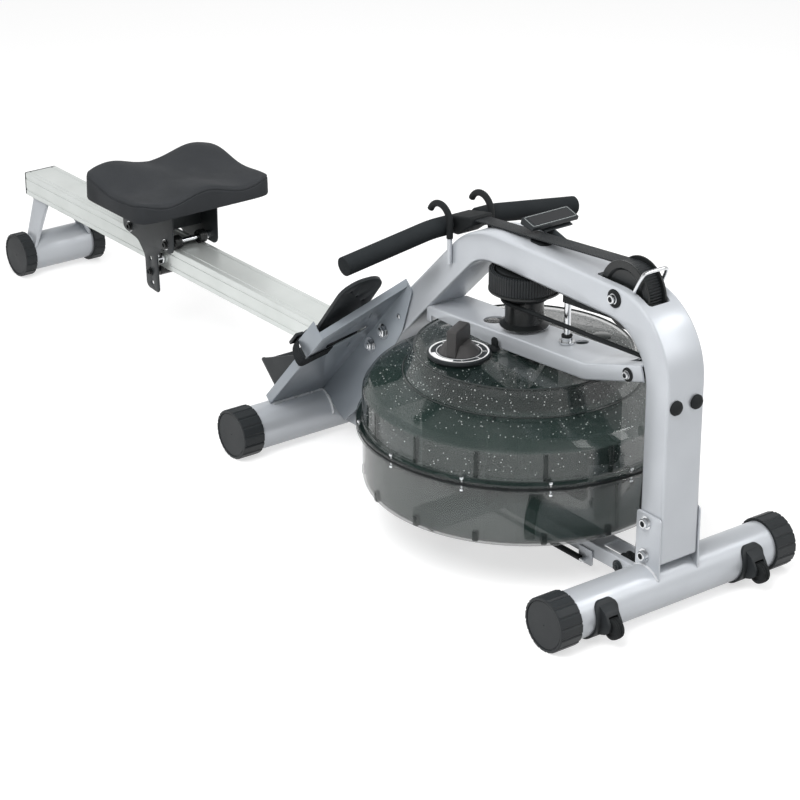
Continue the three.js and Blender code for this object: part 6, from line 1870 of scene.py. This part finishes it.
@dataclass
class Footrests:
    """The folded plates beside the leg, with their cradles and straps.

    A plate is drawn lying flat from its hinge, in (length, side), and then tipped to its slope.
    """

    hinge: Point = (-873.0, 0.0, 87.0)
    angle: float = math.radians(47.6)
    thick: float = 3.0
    inner: float = 39.3
    outer: float = 157.0
    long: float = 379.0
    short: float = 243.0
    sink: float = 0.04
    cradle_y: float = 107.0
    cradle_half: float = 44.0
    floor_z: float = 0.4
    sole_z: float = 6.2
    strap_half: float = 12.4
    buckle_y: float = 150.0

    def build(self) -> None:
        """Makes both footrests."""
        for side in Side:
            self.plate(side)
            self.welds(side)
            self.cradle(side)
            self.strap(side)
            self.buckle(side)
            self.bolts(side)

    def tipped(self, piece: Piece, name: str) -> Piece:
        """Turns a piece made flat along X up to the plate's slope."""
        return Bench.swung(piece, name, -self.angle, self.hinge, Axis.Y)

    def spot(self, x: float, y: float, z: float) -> Point:
        """A place in the plate's own length, side and height, in the machine."""
        hx, _, hz = self.hinge
        c, s = math.cos(self.angle), math.sin(self.angle)
        return (hx + x * c - z * s, y, hz + x * s + z * c)

    def slab(self, name: str, outline: list[Flat], side: Side, low: float, high: float) -> Piece:
        """An outline of (length, side) laid level at the plate's foot and thickened between two heights."""
        hx, _, hz = self.hinge
        return Bench.plate(name, [(hx + a, b * side.value, hz + low) for a, b in outline], (0, 0, high - low))

    def plate(self, side: Side) -> None:
        """The folded sheet, its cheek beside the leg, its folds and its window."""
        t, a, b, s = self.thick, self.inner, self.outer, self.sink
        long, short = self.long, self.short
        sheet = self.slab("sheet", [(0, a), (long, a), (short, b), (0, b)], side, -t, 0)
        low = self.slab("low", [(s, b - t), (137, b - t), (137, b - s), (s, b - s)], side, -t / 2, 15)
        high_fold = [(172, b - t), (short - t, b - t), (short - s * 2, b - s), (172, b - s)]
        high = self.slab("high", high_fold, side, -t / 2, 33)
        top_fold = [(long - 6, a + s), (long - s * 2, a + s), (short - s * 2, b - s * 2),
                    (short - 4.5, b - t * 0.9)]
        top = self.slab("top", top_fold, side, -t / 2, 10)
        cheek_side = rounded([(s, -s), (long - s * 2, -s), (long - s * 2, -17, 9), (303.2, -50, 17),
                              (98.5, -85), (15.2, -78)], 6)
        hx, _, hz = self.hinge
        cheek_y = (a + s) * side.value
        cheek = Bench.plate("cheek", [(hx + p, cheek_y, hz + q) for p, q in cheek_side],
                            (0, t * side.value, 0))
        body = Bench.carve(sheet, low, high, top, cheek, kind=Work.JOIN)
        opening = rounded([(185, 125.6, 6), (210, 131.9, 6), (249, 56.5, 6), (223, 62.8, 6)], 5)
        tools = [self.slab("window", opening, side, -6, 3)]
        for m, n in ((289, 77), (182, 72)):
            slit = [(m - 9, n - 2), (m + 9, n + 1), (m + 9, n + 3), (m - 9, n)]
            tools.append(self.slab("slit", slit, side, -6, 3))
        Bench.carve(body, *tools)
        Bench.bevel(body, 1.1, 2, 50)
        sloped = self.tipped(body, f"foot_sheet_{side.word}")
        Bench.carve(sloped, Bench.rod("tube", TUBE_ROOM, -240, 240, (MID_X, 0, FOOT_Z), steps=96))
        # The plates' darker copy of the silver paint is painted shade
        Bench.dress(sloped, SHADED_PLATE_COAT, "frame", (f"foot_plate_{side.word}",), 30)

    def welds(self, side: Side) -> None:
        """The rippled beads where the plate meets the middle tube."""
        way = side.value
        ring, ripple = TUBE_RADIUS + 1, 0.5
        turn = math.radians(79)
        seam = [(MID_X + ring * math.cos(turn), (47 + 4.4 * k) * way,
                 FOOT_Z + (ring + ripple * (k % 2)) * math.sin(turn)) for k in range(25)]
        arc = []
        for k in range(15):
            angle, reach = math.radians(76 - 5 * k), ring + ripple * (k % 2)
            arc.append((MID_X + reach * math.cos(angle), 44.4 * way, FOOT_Z + reach * math.sin(angle)))
        beads = [Bench.swept("bead", path, 2.5, 6) for path in (seam, arc)]
        # The beads' lighter paint is a painted highlight
        Bench.dress(Bench.gather(beads, f"foot_weld_{side.word}"), LIT_WELD_COAT, "frame")

    def shoe(self, name: str, side: Side, inset: float, rear: float, front: float, low: float, high: float,
             ) -> Piece:
        """A level block of the cradle's plan, rounded at the heel.

        Args:
            name: the block's name.
            side: the footrest's side.
            inset: how far it stays inside the cradle's outline.
            rear: its heel end along the plate.
            front: its toe end.
            low: its underside.
            high: its top.

        Returns:
            The closed block.
        """
        near, far = self.cradle_y - self.cradle_half + inset, self.cradle_y + self.cradle_half - inset
        turn = 13 - inset
        plan = rounded([(rear, near, turn), (front, near), (front, far), (rear, far, turn)], 10)
        return self.slab(name, plan, side, low, high)

    def cradle(self, side: Side) -> None:
        """The sliding heel cradle: a sole with a curved heel cup and a lifted toe."""
        hx, _, hz = self.hinge
        heel, low, sole_top, cup_top = 22.0, self.floor_z, self.sole_z, 72.2
        sole = self.shoe("sole", side, 0, heel, 200, low, sole_top)
        cup = self.shoe("cup", side, 0, heel, 146, low, cup_top)
        room = self.shoe("room", side, 4, heel + 4, 210, sole_top, 90)
        line = rounded([(35, cup_top, 12), (124, 28.2, 14), (146, sole_top), (160, sole_top),
                        (160, 100), (35, 100)])
        slope = Bench.plate("slope", [(hx + p, -200, hz + q) for p, q in line], (0, 400, 0))
        Bench.carve(cup, room, slope)
        body = Bench.gather([sole, cup, self.toe(side)], "cradle")
        Bench.bevel(body, 1.0, 2, 50)
        sloped = self.tipped(body, f"heel_cradle_{side.word}")
        Bench.dress(sloped, MOULDED_ABS, f"cradle_{side.word}", (f"foot_cradle_{side.word}",), 40)

    def toe(self, side: Side) -> Piece:
        """The cradle's lifted toe, round at its end, with three holes."""
        hx, _, hz = self.hinge
        y, half, way = self.cradle_y, self.cradle_half, side.value
        toe_side = rounded([(198, self.floor_z), (202, self.floor_z), (240, 20, 20), (372, 28), (372, 34),
                            (240, 26, 20), (200, self.sole_z)], 6)
        toe = Bench.plate("toe", [(hx + p, (y - half) * way, hz + q) for p, q in toe_side],
                          (0, 2 * half * way, 0))
        plan = rounded([(150, y - half), (372, y - half, half * 0.9), (372, y + half, half * 0.9),
                        (150, y + half)], 12)
        Bench.carve(toe, self.slab("plan", plan, side, -5, 55), kind=Work.KEEP)
        holes = [Bench.rod("hole", 3, -5, 60, (hx + p, (y + q) * way, hz), Axis.Z, 24)
                 for p, q in ((300, -22), (322, 0), (344, 22))]
        return Bench.carve(toe, *holes)

    def strap(self, side: Side) -> None:
        """The webbing strap round the plate's edge."""
        under, far, near, high = -4.6, 160.5, 63.0, 44.0
        path = [(187, far * 0.72, under), (170, far * 0.9, under), (162, far, under - 1.3),
                (162, far + 3.9, 0),
                (162, far + 4.2, high * 0.3), (162, far * 0.98, high * 0.8), (162, far * 0.82, high * 1.1),
                (162, 98.4, high * 1.16), (162, near + high * 0.1, high * 0.86),
                (162, near - 5.2, high * 0.4),
                (162, near - 6.2, 0.4)]
        spots = [place(*self.spot(x, y * side.value, z)) for x, y, z in path]
        line = Bench.curve("strap", spots, 3, 8)
        bpy.ops.object.convert(target="MESH")
        spots = [vertex.co.copy() for vertex in line.data.vertices]
        bpy.data.objects.remove(line)
        across = Vector((math.cos(self.angle), 0, math.sin(self.angle)))
        stations = []
        for i, spot in enumerate(spots):
            before, after = spots[max(i - 1, 0)], spots[min(i + 1, len(spots) - 1)]
            stations.append((spot, across, (after - before).cross(across).normalized()))
        strap = Bench.ribbon(f"toe_strap_{side.word}", stations, self.strap_half, 1.2)
        Bench.dress(strap, WEBBING, "frame", (f"foot_strap_{side.word}",), 40)

    def buckle(self, side: Side) -> None:
        """The cam buckle on the strap's outer shoulder."""
        hx, _, hz = self.hinge
        y = self.buckle_y * side.value
        loop = Bench.block("buckle", (hx + 146, y - 8, hz + 40), (hx + 178, y + 8, hz + 46))
        gap = Bench.block("gap", (hx + 151, y - 5, hz + 30), (hx + 173, y + 5, hz + 60))
        Bench.carve(loop, gap)
        lever = Bench.block("lever", (hx + 152, y - 3, hz + 44), (hx + 172, y + 10, hz + 48))
        body = Bench.gather([loop, lever], "buckle")
        Bench.bevel(body, 1.2, 2)
        Bench.dress(self.tipped(body, f"strap_buckle_{side.word}"), MOULDED_ABS, "frame")

    def bolts(self, side: Side) -> None:
        """The two nuts on the cheek and a small screw."""
        y = (self.inner + self.thick) * side.value
        for number, (x, z) in enumerate(((-686, 257), (-723, 220))):
            nut = FASTENERS.hex_nut(f"leg_nut_{side.word}_{number}", (x, y, z), side, 10.5, 8)
            Bench.dress(nut, BRIGHT_STEEL, "frame")
        screw = FASTENERS.socket_head(f"leg_screw_{side.word}", (-642, y, 300), side, 3.4, 3)
        Bench.dress(screw, BRIGHT_STEEL, "frame")


# Studio


@dataclass(frozen=True)
class Lamp:
    """A square lamp: its place and aim, its width in metres, its power in watts, and what it shows in."""

    name: str
    spot: Point
    aim: Point
    size: float
    power: float
    in_light: bool = True
    in_reflections: bool = True


@dataclass
class Studio:
    """The pale floor, the soft light and the camera."""

    lamp_set: tuple[Lamp, ...] = (
        Lamp("key", (300, -1800, 2600), (-500, 0, 200), 1.8, 100.0, in_reflections=False),
        Lamp("fill", (1800, 900, 1800), (-300, 0, 250), 1.6, 16.0),
        Lamp("top", (-900, 300, 2600), (-900, 0, 100), 2.2, 30.0, in_reflections=False),
        Lamp("streak", (750, 1375, 1995), (0, 0, 45), 0.5, 5.0, in_light=False),
    )
    lens: float = 122.1
    eye: Point = (2799.0, -2641.6, 2049.0)
    forward: Point = (-0.7295, 0.5516, -0.4043)

    def build(self) -> None:
        """Sets the stage."""
        self.camera()
        self.floor()
        self.world()
        self.lamps()
        bpy.context.scene.view_settings.view_transform = "Standard"

    def camera(self) -> None:
        """The camera at the photograph's viewing angle."""
        data = bpy.data.cameras.new("camera")
        data.lens = self.lens
        data.sensor_width = 36
        data.sensor_fit = "HORIZONTAL"
        data.clip_end = 50
        camera = bpy.data.objects.new("camera", data)
        camera.location = place(*self.eye)
        camera.rotation_euler = Vector(self.forward).to_track_quat("-Z", "Y").to_euler()
        bpy.context.collection.objects.link(camera)
        bpy.context.scene.camera = camera

    def seen_rays(self, tree: bpy.types.NodeTree) -> bpy.types.NodeSocket:
        """One for a ray from the camera, a glossy surface or a clear one, and zero for soft light."""
        path = add_node(tree, "ShaderNodeLightPath")
        seen = add_node(tree, "ShaderNodeMath", {"operation": "MAXIMUM"},
                        {0: path.outputs["Is Camera Ray"], 1: path.outputs["Is Glossy Ray"]})
        more = add_node(tree, "ShaderNodeMath", {"operation": "MAXIMUM"},
                        {0: seen.outputs[0], 1: path.outputs["Is Transmission Ray"]})
        return more.outputs[0]

    def floor(self) -> None:
        """A white floor that keeps a soft shadow."""
        Bench.clear()
        bpy.ops.mesh.primitive_plane_add(size=60, location=(0, 0, 0))
        floor = bpy.context.object
        floor.name = "studio_floor"
        made = bpy.data.materials.new("studio_white")
        made.use_nodes = True
        tree = made.node_tree
        tree.nodes.clear()
        seen = self.seen_rays(tree)
        dull = add_node(tree, "ShaderNodeBsdfDiffuse", {"Color": (0.1, 0.1, 0.1, 1)})
        paper = add_node(tree, "ShaderNodeBsdfDiffuse", {"Color": (0.5, 0.5, 0.5, 1)})
        lift = add_node(tree, "ShaderNodeEmission", {"Color": (1, 1, 1, 1), "Strength": 0.62})
        bright = add_node(tree, "ShaderNodeAddShader", links={0: paper.outputs[0], 1: lift.outputs[0]})
        mixed = add_node(tree, "ShaderNodeMixShader",
                         links={0: seen, 1: dull.outputs[0], 2: bright.outputs[0]})
        add_node(tree, "ShaderNodeOutputMaterial", links={"Surface": mixed.outputs[0]})
        floor.data.materials.append(made)

    def world(self) -> None:
        """White surroundings for the camera and reflections, gentler for the light."""
        world = bpy.data.worlds.new("studio")
        bpy.context.scene.world = world
        world.use_nodes = True
        tree = world.node_tree
        tree.nodes.clear()
        path = add_node(tree, "ShaderNodeLightPath")
        where = add_node(tree, "ShaderNodeTexCoord")
        split = add_node(tree, "ShaderNodeSeparateXYZ", links={0: where.outputs["Generated"]})
        spans = {"From Min": 0.15, "From Max": 0.75, "To Min": 1.0, "To Max": 0.4}
        dim = add_node(tree, "ShaderNodeMapRange", spans, {"Value": split.outputs["Z"]})
        white = add_node(tree, "ShaderNodeBackground", {"Color": (1, 1, 1, 1), "Strength": 1.0})
        above = add_node(tree, "ShaderNodeBackground", {"Color": (1, 1, 1, 1)},
                         {"Strength": dim.outputs["Result"]})
        soft = add_node(tree, "ShaderNodeBackground", {"Color": (1, 1, 1, 1), "Strength": 0.45})
        shown = add_node(tree, "ShaderNodeMixShader",
                         links={0: path.outputs["Is Camera Ray"], 1: above.outputs[0], 2: white.outputs[0]})
        mixed = add_node(tree, "ShaderNodeMixShader",
                         links={0: self.seen_rays(tree), 1: soft.outputs[0], 2: shown.outputs[0]})
        add_node(tree, "ShaderNodeOutputWorld", links={"Surface": mixed.outputs[0]})

    def lamps(self) -> None:
        """A broad key, a fill and a top light, and a small lamp that only draws the tubes' highlight."""
        for lamp in self.lamp_set:
            data = bpy.data.lights.new(lamp.name, "AREA")
            data.size = lamp.size
            data.energy = lamp.power
            hung = bpy.data.objects.new(lamp.name, data)
            hung.location = place(*lamp.spot)
            hung.rotation_euler = (place(*lamp.aim) - place(*lamp.spot)).to_track_quat("-Z", "Y").to_euler()
            hung.visible_glossy = lamp.in_reflections
            hung.visible_diffuse = lamp.in_light
            bpy.context.collection.objects.link(hung)


def main() -> None:
    """Builds the studio and the machine."""
    logging.basicConfig(level=logging.INFO, format="%(message)s")
    for part in (Studio(), Feet(), Arch(), Rail(), Seat(), Tank(), Drive(), Handle(), Console(), Footrests()):
        part.build()
        LOG.info("%s built", type(part).__name__)
    Bench.clear()


if __name__ == "__main__":
    main()
